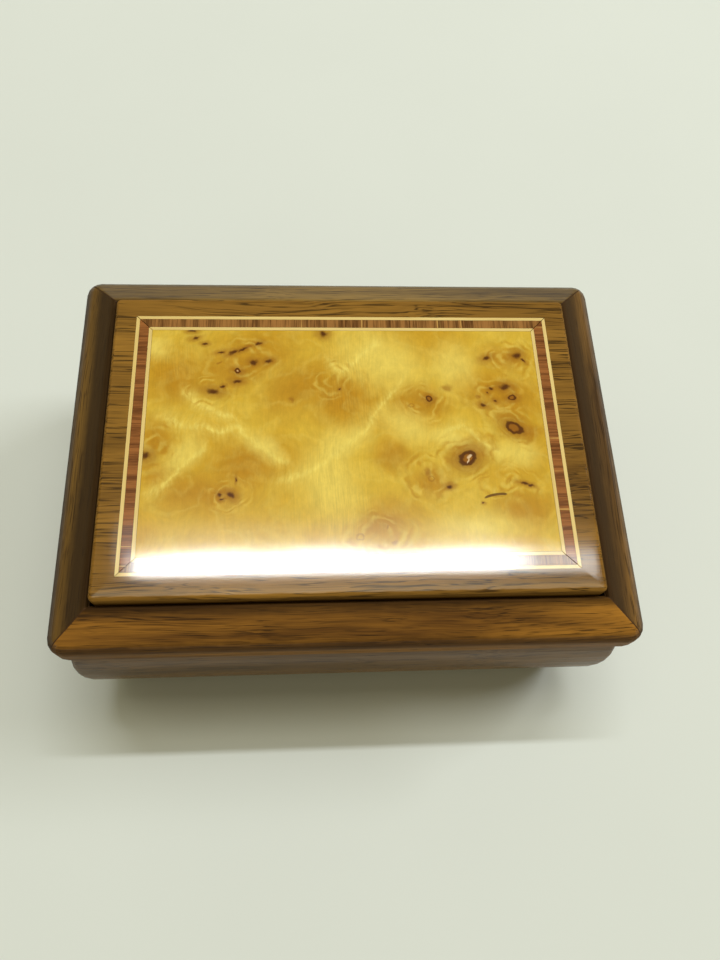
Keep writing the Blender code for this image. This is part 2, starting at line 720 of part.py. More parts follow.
def make_hinge(number, x, back_wall, back_frame):
    """Butt hinge: two let-in leaves with alternate knuckles on one pin, and four screws."""
    half = HINGE_LENGTH / 2
    plate_back = HINGE_Y - BARREL_RADIUS - SEAT_GAP
    plate_front = plate_back - LEAF_REACH
    knuckle = HINGE_LENGTH / KNUCKLES
    made = {}
    for label, side, wood in (("body", -1, back_wall), ("lid", 1, back_frame)):
        face = HINGE_Z + side * SEAT_GAP / 2
        back = face + side * LEAF
        leaf = make_block("hinge_%d_%s_leaf" % (number, label), (x - half, x + half),
                          (plate_front, plate_back), sorted((face, back)), "brass")
        mesh_data = bmesh.new()
        first = 0 if side < 0 else 1
        for k in range(first, KNUCKLES, 2):
            start = x - half + k * knuckle + SEAT_GAP / 2
            end = x - half + (k + 1) * knuckle - SEAT_GAP / 2
            add_prism(mesh_data, knuckle_outline(-side), "X", start, end)
        join(leaf, make_object("add_knuckles_%d_%s" % (number, label), mesh_data))
        cut(leaf, make_turned("cut_pin_%d_%s" % (number, label),
                              rod_profile(PIN_RADIUS + RUNNING_GAP, x - half - 1, x + half + 1),
                              "X", (HINGE_Y, HINGE_Z), 12))
        pocket = make_block("cut_mortise_%d_%s" % (number, label),
                            (x - half - SEAT_GAP, x + half + SEAT_GAP),
                            (plate_front - SEAT_GAP, HINGE_Y), sorted((face - side, back + side * SEAT_GAP)))
        room = make_turned("cut_barrel_%d_%s" % (number, label),
                           rod_profile(BARREL_RADIUS + SEAT_GAP, x - half - SEAT_GAP, x + half + SEAT_GAP),
                           "X", (HINGE_Y, HINGE_Z), 24)
        cut(wood, pocket)
        cut(wood, room)
        screws = []
        for place_number, (sx, sy) in enumerate(hinge_screw_places(x), start=1):
            hole = make_turned("cut_screw_%d_%s_%d" % (number, label, place_number),
                               screw_profile(face, side, RUNNING_GAP), "Z", (sx, sy), 12)
            cut(leaf, hole)
            cut(wood, hole)
            screw = make_turned("hinge_%d_%s_screw_%d" % (number, label, place_number),
                                screw_profile(face, side), "Z", (sx, sy), 12, "brass")
            cut(screw, make_block("cut_slot_%d_%s_%d" % (number, label, place_number),
                                  (sx - 3, sx + 3), (sy - SCREW_SLOT / 2, sy + SCREW_SLOT / 2),
                                  sorted((face - side, face + side * SCREW_SLOT))))
            screws.append(screw)
        made[label] = [leaf] + screws
    pin = make_turned("hinge_%d_pin" % number, rod_profile(PIN_RADIUS, x - half, x + half),
                      "X", (HINGE_Y, HINGE_Z), 12, "steel")
    made["body"].append(pin)
    return made


def gear_outline(centre, teeth, module, aim, turn=0.0):
    """Straight-flanked spur teeth, with one tooth on the angle aim."""
    pitch_radius = teeth * module / 2
    half_pitch = TOOTH_SHARE * math.pi * module / 2
    half_tip = half_pitch - ADDENDUM * module * TIP_SLOPE
    half_root = half_pitch + DEDENDUM * module * ROOT_SLOPE
    tip = pitch_radius + ADDENDUM * module
    root = pitch_radius - DEDENDUM * module
    points = []
    for k in range(teeth):
        middle = aim + turn + 2 * math.pi * k / teeth
        for radius, offset in ((root, -half_root), (tip, -half_tip), (tip, half_tip), (root, half_root)):
            angle = middle + offset / radius
            points.append((centre[0] + radius * math.cos(angle), centre[1] + radius * math.sin(angle)))
    return points


def add_twisted(mesh_data, low_outline, high_outline, axis, start, end):
    low = [mesh_data.verts.new(place(axis, a, b, start)) for a, b in low_outline]
    high = [mesh_data.verts.new(place(axis, a, b, end)) for a, b in high_outline]
    count = len(low)
    for i in range(count):
        j = (i + 1) % count
        mesh_data.faces.new((low[i], low[j], high[j], high[i]))
    mesh_data.faces.new(list(reversed(low)))
    mesh_data.faces.new(high)


def make_bedplate():
    """Cast plate with the bed that carries the comb."""
    half = BEDPLATE_WIDTH / 2
    outline = rounded_outline(MOVE_X - half, MOVE_X + half, -BEDPLATE_FRONT, BEDPLATE_BACK,
                              BEDPLATE_CORNER)
    plate = make_prism("movement_bedplate", outline, "Z", BED_BOTTOM, BED_TOP, "cast_zinc")
    bed = make_block("add_comb_bed", (COMB_ROOT_X, COMB_ROOT_X + COMB_BED_WIDTH),
                     (COMB_FRONT, COMB_BACK), (BED_TOP - 0.5, COMB_LOW - SEAT_GAP))
    join(plate, bed)
    bore = make_turned("cut_arbor_bore", rod_profile(ARBOR_RADIUS + RUNNING_GAP, 0, BED_TOP + 1), "Z",
                       (AXIS_X, SPRING_Y), 20)
    cut(plate, bore)
    foot = make_turned("cut_worm_foot", rod_profile(GOVERNOR_SHAFT + RUNNING_GAP, 0, BED_TOP + 1), "Z",
                       (WORM_X, WORM_Y), 12)
    cut(plate, foot)
    for number, (x, y) in enumerate(mounting_places(), start=1):
        cut(plate, screw_hole("cut_bed_hole_%d" % number, x, y, 0, BED_TOP + 1))
    for number, y in enumerate(comb_screw_places(), start=1):
        cut(plate, screw_hole("cut_comb_hole_%d" % number, COMB_SCREW_X, y,
                              COMB_LOW - SCREW_LENGTH, COMB_LOW + 1))
    return plate


def make_spring():
    """Spring housing, an upturned cup, and the coiled mainspring inside it."""
    low = BED_TOP + SEAT_GAP
    top = low + HOUSING_HEIGHT
    inner = HOUSING_RADIUS - HOUSING_WALL
    bore = ARBOR_RADIUS + RUNNING_GAP
    ceiling = top - HOUSING_WALL
    profile = [(inner, low), (HOUSING_RADIUS, low), (HOUSING_RADIUS, top - 0.6),
               (HOUSING_RADIUS - 0.6, top), (bore, top), (bore, ceiling), (inner, ceiling)]
    make_turned("spring_housing", profile, "Z", (AXIS_X, SPRING_Y), 40, "steel")
    first = ARBOR_RADIUS + SEAT_GAP
    last = inner - SEAT_GAP - SPRING_STRIP
    steps = SPRING_TURNS * 18
    near = []
    far = []
    for k in range(steps + 1):
        angle = 2 * math.pi * SPRING_TURNS * k / steps
        radius = first + (last - first) * k / steps
        near.append((AXIS_X + radius * math.cos(angle), SPRING_Y + radius * math.sin(angle)))
        radius += SPRING_STRIP
        far.append((AXIS_X + radius * math.cos(angle), SPRING_Y + radius * math.sin(angle)))
    make_prism("mainspring", near + list(reversed(far)), "Z", low, ceiling - SEAT_GAP, "steel")


def make_winding():
    """Great wheel, winding arbor and butterfly key, which all turn together."""
    wheel = make_great_wheel()
    arbor = make_turned("winding_arbor",
                        rod_profile(ARBOR_RADIUS, KEY_TOP - KEY_SOCKET, GREAT_TOP + ARBOR_END), "Z",
                        (AXIS_X, SPRING_Y), 20, "steel")
    key = make_key()
    return [wheel, arbor, key]


def make_great_wheel():
    """Disc with crown teeth standing up round its rim, and a gap of the teeth facing the pinion."""
    outer = GREAT_PITCH_RADIUS + GREAT_FACE / 2
    inner = GREAT_PITCH_RADIUS - GREAT_FACE / 2
    bore = ARBOR_RADIUS + VENEER_JOINT / 2
    tip_height = GREAT_PITCH_PLANE + ADDENDUM * GREAT_MODULE
    half_pitch = TOOTH_SHARE * math.pi * GREAT_MODULE / 2
    half_tip = (half_pitch - ADDENDUM * GREAT_MODULE * TIP_SLOPE) / GREAT_PITCH_RADIUS
    half_root = (half_pitch + DEDENDUM * GREAT_MODULE * ROOT_SLOPE) / GREAT_PITCH_RADIUS
    mesh_data = bmesh.new()

    def point(radius, angle, height):
        return mesh_data.verts.new((AXIS_X + radius * math.cos(angle), SPRING_Y + radius * math.sin(angle),
                                    height))

    columns = []
    for k in range(GREAT_TEETH):
        middle = math.pi / 2 + 2 * math.pi * (k + 0.5) / GREAT_TEETH
        for sign in (-1, 1):
            angle = middle + sign * half_root
            columns.append({
                "low_bore": point(bore, angle, GREAT_BOTTOM),
                "low_rim": point(outer, angle, GREAT_BOTTOM),
                "rim": point(outer, angle, GREAT_TOP),
                "root": point(inner, angle, GREAT_TOP),
                "bore": point(bore, angle, GREAT_TOP),
                "tip_rim": point(outer, middle + sign * half_tip, tip_height),
                "tip_root": point(inner, middle + sign * half_tip, tip_height),
            })
    count = len(columns)
    for k in range(count):
        here = columns[k]
        after = columns[(k + 1) % count]
        for a, b in (("low_rim", "low_bore"), ("rim", "low_rim"), ("bore", "root"), ("low_bore", "bore")):
            mesh_data.faces.new((here[a], after[a], after[b], here[b]))
        if k % 2:
            mesh_data.faces.new((here["root"], after["root"], after["rim"], here["rim"]))
            continue
        mesh_data.faces.new((here["tip_root"], after["tip_root"], after["tip_rim"], here["tip_rim"]))
        mesh_data.faces.new((here["rim"], after["rim"], after["tip_rim"], here["tip_rim"]))
        mesh_data.faces.new((here["root"], after["root"], after["tip_root"], here["tip_root"]))
        mesh_data.faces.new((here["root"], here["rim"], here["tip_rim"], here["tip_root"]))
        mesh_data.faces.new((after["root"], after["rim"], after["tip_rim"], after["tip_root"]))
    return make_object("great_wheel", mesh_data, "brass")


def make_key():
    """Butterfly key: a hub with a socket for the arbor and two pierced wings."""
    middle = KEY_TOP - KEY_SOCKET - KEY_WEB
    key = make_turned("winding_key", rod_profile(KEY_HUB, middle, KEY_TOP), "Z", (AXIS_X, SPRING_Y), 20,
                      "steel")
    right = arc((AXIS_X + KEY_SPAN, middle), KEY_LOBE, -125, 125, 14)
    left = arc((AXIS_X - KEY_SPAN, middle), KEY_LOBE, 55, 305, 14)
    wings = make_prism("add_key_wings", right + left, "Y", SPRING_Y - KEY_THICKNESS / 2,
                       SPRING_Y + KEY_THICKNESS / 2)
    join(key, wings)
    mesh_data = bmesh.new()
    for sign in (-1, 1):
        add_turned(mesh_data, rod_profile(KEY_HOLE, SPRING_Y - 3, SPRING_Y + 3), "Y",
                   (AXIS_X + sign * KEY_SPAN, middle), 18)
    cut(key, make_object("cut_key_holes", mesh_data))
    socket = rod_profile(ARBOR_RADIUS + VENEER_JOINT / 2, KEY_TOP - KEY_SOCKET - SEAT_GAP, KEY_TOP + 1)
    cut(key, make_turned("cut_key_socket", socket, "Z", (AXIS_X, SPRING_Y), 20))
    return key


def make_cylinder():
    """Pinned cylinder on its arbor with the small pinion, and the wheel on its other end."""
    drum = make_turned("pinned_cylinder", rod_profile(CYLINDER_RADIUS, CYLINDER_START, CYLINDER_END), "Y",
                       (AXIS_X, CYLINDER_Z), 40, "brass")
    shaft = make_turned("add_cylinder_shaft",
                        rod_profile(CYLINDER_SHAFT, PINION_START, REAR_BRACKET_END), "Y",
                        (AXIS_X, CYLINDER_Z), 12)
    join(drum, shaft)
    join(drum, make_prism("add_pinion",
                          gear_outline((AXIS_X, CYLINDER_Z), PINION_TEETH, GREAT_MODULE, -math.pi / 2),
                          "Y", PINION_START, PINION_END))
    mesh_data = bmesh.new()
    for note in range(NOTES):
        y = note_place(note)
        for k in range(PINS_PER_NOTE):
            step = (note * 37 + k * 83) % PIN_PLACES
            angle = 2 * math.pi * step / PIN_PLACES
            outward = Vector((math.cos(angle), 0, math.sin(angle)))
            sideways = Vector((-math.sin(angle), 0, math.cos(angle))) * PIN_WIDTH / 2
            along = Vector((0, PIN_WIDTH / 2, 0))
            centre = Vector((AXIS_X, y, CYLINDER_Z))
            ends = []
            for radius in (CYLINDER_RADIUS - 0.4, CYLINDER_RADIUS + PIN_LENGTH):
                ends.append([mesh_data.verts.new(centre + outward * radius + sideways * a + along * b)
                             for a, b in ((-1, -1), (1, -1), (1, 1), (-1, 1))])
            mesh_data.faces.new(list(reversed(ends[0])))
            mesh_data.faces.new(ends[1])
            for i in range(4):
                j = (i + 1) % 4
                mesh_data.faces.new((ends[0][i], ends[0][j], ends[1][j], ends[1][i]))
    join(drum, make_object("add_cylinder_pins", mesh_data))
    wheel = make_prism("cylinder_wheel",
                       gear_outline((AXIS_X, CYLINDER_Z), WHEEL_TEETH, WHEEL_MODULE, GOVERNOR_ANGLE),
                       "Y", WHEEL_START, WHEEL_END, "white_nylon")
    cut(wheel, make_turned("cut_wheel_bore",
                           rod_profile(CYLINDER_SHAFT + VENEER_JOINT / 2, WHEEL_START - 1, WHEEL_END + 1),
                           "Y", (AXIS_X, CYLINDER_Z), 12))
    return [drum, wheel]


def note_place(note):
    return CYLINDER_START + (NOTE_PITCH + NOTE_MARGIN) / 2 + note * NOTE_PITCH


def comb_screw_places():
    return (note_place(NOTES * 0.2), note_place(NOTES * 0.75))


def make_comb():
    """Steel comb with one tooth for each note, and the two screws that hold it."""
    outline = [(COMB_ROOT_X + COMB_BED_WIDTH, COMB_FRONT), (COMB_ROOT_X + COMB_BED_WIDTH, COMB_BACK)]
    for note in reversed(range(NOTES)):
        y = note_place(note)
        outline += [(COMB_ROOT_X, y + COMB_TOOTH / 2), (COMB_TIP_X, y + COMB_TOOTH / 2),
                    (COMB_TIP_X, y - COMB_TOOTH / 2), (COMB_ROOT_X, y - COMB_TOOTH / 2)]
    outline.insert(2, (COMB_ROOT_X, COMB_BACK))
    outline.append((COMB_ROOT_X, COMB_FRONT))
    comb = make_prism("comb", outline, "Z", COMB_LOW, COMB_LOW + COMB_PLATE, "steel")
    head_low = COMB_LOW + COMB_PLATE + SEAT_GAP
    head_high = head_low + SCREW_HEAD_HEIGHT
    low = COMB_LOW - SCREW_LENGTH + 1
    for number, y in enumerate(comb_screw_places(), start=1):
        cut(comb, screw_hole("cut_comb_screw_%d" % number, COMB_SCREW_X, y, COMB_LOW - 1, head_low + 1))
        profile = [(0, low), (SCREW_SHANK, low), (SCREW_SHANK, head_low), (SCREW_HEAD + 0.3, head_low),
                   (SCREW_HEAD + 0.3, head_high - 0.4), (SCREW_HEAD, head_high), (0, head_high)]
        screw = make_turned("comb_screw_%d" % number, profile, "Z", (COMB_SCREW_X, y), 14, "steel")
        cut(screw, make_block("cut_comb_slot_%d" % number, (COMB_SCREW_X - 3, COMB_SCREW_X + 3),
                              (y - SCREW_SLOT / 2, y + SCREW_SLOT / 2),
                              (head_high - 0.5, head_high + 1)))


def make_brackets():
    """Front and rear bearing brackets; the rear one also carries the stop lever's stud."""
    foot = BED_TOP + SEAT_GAP
    ear = BRACKET_EAR
    wide = BRACKET_FOOT
    outline = [(AXIS_X - wide, foot), (AXIS_X + wide, foot)]
    outline += [(AXIS_X + wide, foot + BRACKET_FOOT_HEIGHT), (AXIS_X + ear, foot + 2 * BRACKET_FOOT_HEIGHT)]
    outline += arc((AXIS_X, CYLINDER_Z), ear, 0, 180, 8)
    outline += [(AXIS_X - ear, foot + 2 * BRACKET_FOOT_HEIGHT), (AXIS_X - wide, foot + BRACKET_FOOT_HEIGHT)]
    front = make_prism("front_bearing_bracket", outline, "Y", FRONT_BRACKET_START, FRONT_BRACKET_END, "steel")
    cut(front, make_turned("cut_front_bearing",
                           rod_profile(CYLINDER_SHAFT + RUNNING_GAP, FRONT_BRACKET_START - 1,
                                       FRONT_BRACKET_END + 1), "Y", (AXIS_X, CYLINDER_Z), 12))
    governor_top = GOVERNOR_Z + ear
    left = GOVERNOR_X - ear
    outline = [(left, foot), (PIVOT_X + ear, foot)]
    outline += arc((PIVOT_X, LEVER_Z), ear, 0, 180, 8)
    outline += [(PIVOT_X - ear, CYLINDER_Z - 1)]
    outline += [(AXIS_X + ear, CYLINDER_Z - 1)] + arc((AXIS_X, CYLINDER_Z), ear, 0, 180, 8)
    outline += [(AXIS_X - ear, governor_top), (left, governor_top)]
    rear = make_prism("rear_bearing_bracket", outline, "Y", REAR_BRACKET_START, REAR_BRACKET_END, "steel")
    mesh_data = bmesh.new()
    add_turned(mesh_data, rod_profile(CYLINDER_SHAFT + RUNNING_GAP, REAR_BRACKET_START - 1,
                                      REAR_BRACKET_END + 1), "Y", (AXIS_X, CYLINDER_Z), 12)
    add_turned(mesh_data, rod_profile(GOVERNOR_SHAFT + RUNNING_GAP, REAR_BRACKET_START - 1,
                                      REAR_BRACKET_END + 1), "Y", (GOVERNOR_X, GOVERNOR_Z), 12)
    cut(rear, make_object("cut_rear_bearings", mesh_data))
    stud_end = LEVER_START + LEVER_THICKNESS + SEAT_GAP
    stud_start = REAR_BRACKET_START + BRACKET / 4
    cap = LEVER_EYE - 0.4
    profile = [(0, stud_start), (LEVER_STUD, stud_start), (LEVER_STUD, stud_end), (cap, stud_end),
               (cap, stud_end + 0.5), (0, stud_end + 0.5)]
    join(rear, make_turned("add_lever_stud", profile, "Y", (PIVOT_X, LEVER_Z), 12))


def make_governor():
    """Governor wheel with its pinion, the frame over it, and the worm shaft with the fly."""
    shaft_start = WHEEL_START - SEAT_GAP
    frame_end = FRAME_START + BRACKET
    wheel = make_turned("governor_wheel", rod_profile(GOVERNOR_SHAFT, shaft_start, frame_end), "Y",
                        (GOVERNOR_X, GOVERNOR_Z), 12, "brass")
    aim = GOVERNOR_ANGLE - math.pi + math.pi / GOVERNOR_TEETH
    join(wheel, make_prism("add_governor_pinion",
                           gear_outline((GOVERNOR_X, GOVERNOR_Z), GOVERNOR_TEETH, WHEEL_MODULE, aim),
                           "Y", shaft_start + 0.1, WHEEL_END + 0.2))
    lead = WORM_STARTS * math.pi * WORM_MODULE
    slope = lead / (2 * math.pi * WORM_PITCH_RADIUS)
    twist = WORM_WHEEL_FACE / 2 * slope / WORM_WHEEL_RADIUS
    aim = math.pi + math.pi / WORM_WHEEL_TEETH
    centre = (GOVERNOR_X, GOVERNOR_Z)
    mesh_data = bmesh.new()
    add_twisted(mesh_data, gear_outline(centre, WORM_WHEEL_TEETH, WORM_MODULE, aim, twist),
                gear_outline(centre, WORM_WHEEL_TEETH, WORM_MODULE, aim, -twist),
                "Y", WORM_WHEEL_START, WORM_WHEEL_START + WORM_WHEEL_FACE)
    join(wheel, make_object("add_worm_wheel", mesh_data))

    foot = BED_TOP + SEAT_GAP
    frame = make_block("governor_frame", (WORM_X - FRAME_MARGIN, GOVERNOR_X + FRAME_MARGIN),
                       (FRAME_START, frame_end), (foot, FRAME_ARM_TOP), "steel")
    arm = make_block("add_governor_arm", (WORM_X - ARM_HALF_WIDTH, WORM_X + ARM_HALF_WIDTH),
                     (WORM_Y - ARM_REACH, FRAME_START + BRACKET / 2),
                     (FRAME_ARM_BOTTOM, FRAME_ARM_TOP - VENEER_JOINT / 2))
    join(frame, arm)
    cut(frame, make_turned("cut_governor_bearing",
                           rod_profile(GOVERNOR_SHAFT + RUNNING_GAP, FRAME_START - 1, frame_end + 1), "Y",
                           (GOVERNOR_X, GOVERNOR_Z), 12))
    cut(frame, make_turned("cut_fly_bearing",
                           rod_profile(GOVERNOR_SHAFT + RUNNING_GAP, FRAME_ARM_BOTTOM - 1,
                                       FRAME_ARM_TOP + 1), "Z", (WORM_X, WORM_Y), 12))
    return wheel, make_fly()


def make_fly():
    """Worm shaft: a two-start worm below and a two-vaned air fly on top."""
    fly = make_worm()
    join(fly, make_turned("add_fly_shaft", rod_profile(GOVERNOR_SHAFT, BED_TOP - 1, FLY_BOTTOM + 1), "Z",
                          (WORM_X, WORM_Y), 12))
    hub = [(0, FLY_BOTTOM), (FLY_HUB, FLY_BOTTOM), (FLY_HUB, FLY_HUB_TOP), (0, FLY_HUB_TOP)]
    join(fly, make_turned("add_fly_hub", hub, "Z", (WORM_X, WORM_Y), 16))
    vanes = make_block("add_fly_vanes", (WORM_X - FLY_RADIUS, WORM_X + FLY_RADIUS),
                       (WORM_Y - FLY_VANE / 2, WORM_Y + FLY_VANE / 2), (FLY_BOTTOM + FLY_HUB_RISE, FLY_TOP))
    join(fly, vanes)
    return fly


def make_worm():
    """Threads laid on a grid that shears along the shaft, cut flat at both ends."""
    axial_pitch = math.pi * WORM_MODULE
    lead = WORM_STARTS * axial_pitch
    root = WORM_PITCH_RADIUS - DEDENDUM * WORM_MODULE
    levels = ((0.0, root), (0.40, root), (0.61, WORM_TIP), (0.79, WORM_TIP))
    sides = 14
    low = GOVERNOR_Z - WORM_LENGTH / 2
    thread_middle = 0.70
    spare = math.ceil(WORM_LENGTH / axial_pitch / 2) + WORM_STARTS + 1
    start = GOVERNOR_Z - (spare + thread_middle) * axial_pitch
    pitches = int(WORM_LENGTH / axial_pitch) + 2 * WORM_STARTS + 4
    mesh_data = bmesh.new()
    columns = []
    for k in range(sides + 1):
        angle = 2 * math.pi * k / sides
        column = []
        for i in range(pitches):
            for share, radius in levels:
                height = start + (i + share) * axial_pitch + lead * k / sides
                column.append(mesh_data.verts.new((WORM_X + radius * math.cos(angle),
                                                   WORM_Y + radius * math.sin(angle), height)))
        columns.append(column)
    for here, after in zip(columns, columns[1:]):
        for i in range(len(here) - 1):
            mesh_data.faces.new((here[i], after[i], after[i + 1], here[i + 1]))
    bmesh.ops.remove_doubles(mesh_data, verts=mesh_data.verts, dist=1e-4)
    for height, outward in ((low, -1), (low + WORM_LENGTH, 1)):
        everything = mesh_data.verts[:] + mesh_data.edges[:] + mesh_data.faces[:]
        bmesh.ops.bisect_plane(mesh_data, geom=everything, dist=1e-5, plane_co=(0, 0, height),
                               plane_no=(0, 0, outward), clear_outer=True)
        rim = [edge for edge in mesh_data.edges
               if edge.is_boundary and all(abs(vert.co.z - height) < 1e-3 for vert in edge.verts)]
        bmesh.ops.holes_fill(mesh_data, edges=rim, sides=0)
    return make_object("governor_fly", mesh_data, "steel")


def make_stop_lever():
    """Stamped lever: an eye on the stud, an arm over the fly and a finger up to the lid."""
    half = LEVER_WIDTH / 2
    opening = math.degrees(math.asin(half / LEVER_EYE))
    finger_top = LINING_UNDER - SEAT_GAP
    outline = arc((PIVOT_X, LEVER_Z), LEVER_EYE, -180 + opening, 180 - opening, 14)
    outline += [(WORM_X + half, LEVER_Z + half)]
    outline += arc((WORM_X, finger_top - half), half, 0, 180, 6)
    outline += [(WORM_X - half, LEVER_Z - half)]
    lever = make_prism("stop_lever", outline, "Y", LEVER_START, LEVER_START + LEVER_THICKNESS, "steel")
    cut(lever, make_turned("cut_lever_eye",
                           rod_profile(LEVER_STUD + RUNNING_GAP, LEVER_START - 1,
                                       LEVER_START + LEVER_THICKNESS + 1), "Y", (PIVOT_X, LEVER_Z), 12))
    return lever


def build():
    clear_scene()
    walls = make_case()
    make_base()
    make_linings()
    make_ring_rolls()
    make_bay()
    frame, lid_pieces = make_lid()
    lid_pieces += frame.values()
    for number, x in ((1, -HINGE_SPREAD), (2, HINGE_SPREAD)):
        lid_pieces += make_hinge(number, x, walls["back"], frame["back"])["lid"]
    make_bedplate()
    make_spring()
    winding = make_winding()
    cylinder = make_cylinder()
    make_comb()
    make_brackets()
    governor, fly = make_governor()
    lever = make_stop_lever()
    make_mounting_screws()
    joint_at("lid_hinge_axis", (0, HINGE_Y, HINGE_Z), lid_pieces)
    joint_at("winding_axis", (AXIS_X, SPRING_Y, KEY_TOP), winding)
    joint_at("cylinder_axis", (AXIS_X, CYLINDER_START, CYLINDER_Z), cylinder)
    joint_at("governor_axis", (GOVERNOR_X, WHEEL_START, GOVERNOR_Z), [governor])
    joint_at("fly_axis", (WORM_X, WORM_Y, GOVERNOR_Z), [fly])
    joint_at("stop_lever_axis", (PIVOT_X, LEVER_START, LEVER_Z), [lever])


build()
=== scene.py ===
"""Musical jewelry box: bowed walnut case, framed lid with an inlaid burl field, velvet tray
and a wind-up movement under a clear cover.

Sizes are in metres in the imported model's frame, unless a name ends in _MM: +X runs along
the front, +Y points to the hinges and +Z up. Colours are sRGB from 0 to 255, or linear
from 0 to 1.
"""

import json
import math

import bmesh
import bpy
from mathutils import Matrix, Vector

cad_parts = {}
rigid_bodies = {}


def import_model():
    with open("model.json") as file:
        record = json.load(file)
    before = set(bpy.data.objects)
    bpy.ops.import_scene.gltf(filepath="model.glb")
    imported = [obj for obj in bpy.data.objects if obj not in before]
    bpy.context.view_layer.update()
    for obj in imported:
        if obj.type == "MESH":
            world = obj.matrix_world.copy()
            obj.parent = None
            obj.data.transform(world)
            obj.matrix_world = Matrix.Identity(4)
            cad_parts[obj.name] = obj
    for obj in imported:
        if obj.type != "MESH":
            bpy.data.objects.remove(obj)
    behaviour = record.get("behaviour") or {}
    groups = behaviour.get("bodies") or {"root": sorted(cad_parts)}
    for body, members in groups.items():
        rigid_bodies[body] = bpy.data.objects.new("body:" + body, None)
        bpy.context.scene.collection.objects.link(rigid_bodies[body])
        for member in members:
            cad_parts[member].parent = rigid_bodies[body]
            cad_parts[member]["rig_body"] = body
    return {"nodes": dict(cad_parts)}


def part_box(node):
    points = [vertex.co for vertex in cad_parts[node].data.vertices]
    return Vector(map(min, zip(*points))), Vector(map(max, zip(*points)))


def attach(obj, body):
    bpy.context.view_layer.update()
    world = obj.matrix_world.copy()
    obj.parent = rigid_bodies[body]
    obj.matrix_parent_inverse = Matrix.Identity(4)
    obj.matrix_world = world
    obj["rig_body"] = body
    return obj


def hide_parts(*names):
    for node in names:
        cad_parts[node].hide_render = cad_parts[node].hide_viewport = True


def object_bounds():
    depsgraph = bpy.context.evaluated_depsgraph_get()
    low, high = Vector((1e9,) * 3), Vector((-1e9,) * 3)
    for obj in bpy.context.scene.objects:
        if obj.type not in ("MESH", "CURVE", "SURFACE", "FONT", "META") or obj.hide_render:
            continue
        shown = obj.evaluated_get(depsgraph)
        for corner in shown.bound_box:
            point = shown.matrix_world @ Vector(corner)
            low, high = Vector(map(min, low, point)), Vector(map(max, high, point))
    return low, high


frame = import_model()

cad_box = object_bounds()
solids = frame["nodes"]

# Case walls: four bowed boards of dark walnut, mitred at the corners. Each is moulded from
# solid wood with its grain along its length, then filled, rubbed down and lacquered.
MM = 0.001
WALL_LIGHT = (136, 99, 52)
WALL_DARK = (74, 50, 24)
WALL_PORE = (38, 24, 12)
WALL_COAT = 0.45
# Colour that painted shade turns lacquered wood towards, in hollows and under edges.
PAINTED_SHADE_COLOUR = (50, 34, 18)
GLOSS = 0.075
COAT_IOR = 1.38
HAZE = 0.05
HAZE_SPREAD = 0.15
DULL_SPREAD = 0.5
BARE_SPREAD = 0.6
BARE_SHINE = 0.03
PORE_RELIEF = 0.25
PORE_DEPTH = 0.06 * MM
ACROSS = math.pi / 2


def paint(colour):
    """Linear colour of an sRGB one."""
    shares = [value / 255 for value in colour]
    return (*[s / 12.92 if s <= 0.04045 else ((s + 0.055) / 1.055) ** 2.4 for s in shares], 1.0)


def plug(socket, value):
    """Sets a plain value on a socket, or links the socket to the one that is given."""
    if isinstance(value, bpy.types.NodeSocket):
        socket.id_data.links.new(value, socket)
    else:
        socket.default_value = value


def add_node(tree, kind, inputs=None, **settings):
    made = tree.nodes.new("ShaderNode" + kind)
    for name, value in settings.items():
        setattr(made, name, value)
    for name, value in (inputs or {}).items():
        plug(made.inputs[name], value)
    return made


def math_of(tree, operation, first, second=0.0, clamp=False):
    return add_node(tree, "Math", {0: first, 1: second}, operation=operation,
                    use_clamp=clamp).outputs[0]


def times(tree, first, second, clamp=False):
    return math_of(tree, "MULTIPLY", first, second, clamp)


def plus(tree, first, second, clamp=False):
    return math_of(tree, "ADD", first, second, clamp)


def minus(tree, first, second, clamp=False):
    return math_of(tree, "SUBTRACT", first, second, clamp)


def apart(tree, first, second):
    """How far two values lie from each other."""
    return math_of(tree, "ABSOLUTE", minus(tree, first, second))


def weighed(tree, *parts):
    """Sum of values, each times its weight."""
    total = None
    for value, weight in parts:
        share = times(tree, value, weight)
        total = share if total is None else plus(tree, total, share)
    return total


def vector_of(tree, operation, first, second):
    return add_node(tree, "VectorMath", {0: first, 1: second}, operation=operation).outputs[0]


def step_between(tree, value, start, end):
    """0 below start and 1 above end, with a smooth step between; start may be the higher one."""
    made = add_node(tree, "MapRange", {"Value": value, "From Min": start, "From Max": end},
                    interpolation_type="SMOOTHSTEP")
    return made.outputs["Result"]


def mixed(tree, share, first, second):
    return add_node(tree, "Mix", {0: share, 6: first, 7: second}, data_type="RGBA").outputs[2]


def noise(tree, place, scale, detail=2.0, roughness=0.5, channel="Fac"):
    """Noise from 0 to 1; scale gives its waves per unit, along each axis or along all three."""
    scales = scale if isinstance(scale, tuple) else (scale, scale, scale)
    stretched = vector_of(tree, "MULTIPLY", place, scales)
    return add_node(tree, "TexNoise", {"Vector": stretched, "Scale": 1.0, "Detail": detail,
                                       "Roughness": roughness}).outputs[channel]


def shifted(tree, place, scale, reach, detail=2.0):
    """A place pushed about by noise, up to about half of reach each way."""
    push = vector_of(tree, "SUBTRACT", noise(tree, place, scale, detail, channel="Color"), (0.5, 0.5, 0.5))
    return vector_of(tree, "ADD", place, vector_of(tree, "MULTIPLY", push, (reach, reach, reach)))


def laid(tree, place, turn, offset=(0, 0, 0)):
    """A place turned about Z, so that stuff made along X lies along another line."""
    return add_node(tree, "Mapping", {"Vector": place, "Location": offset,
                                      "Rotation": (0, 0, turn)}).outputs["Vector"]


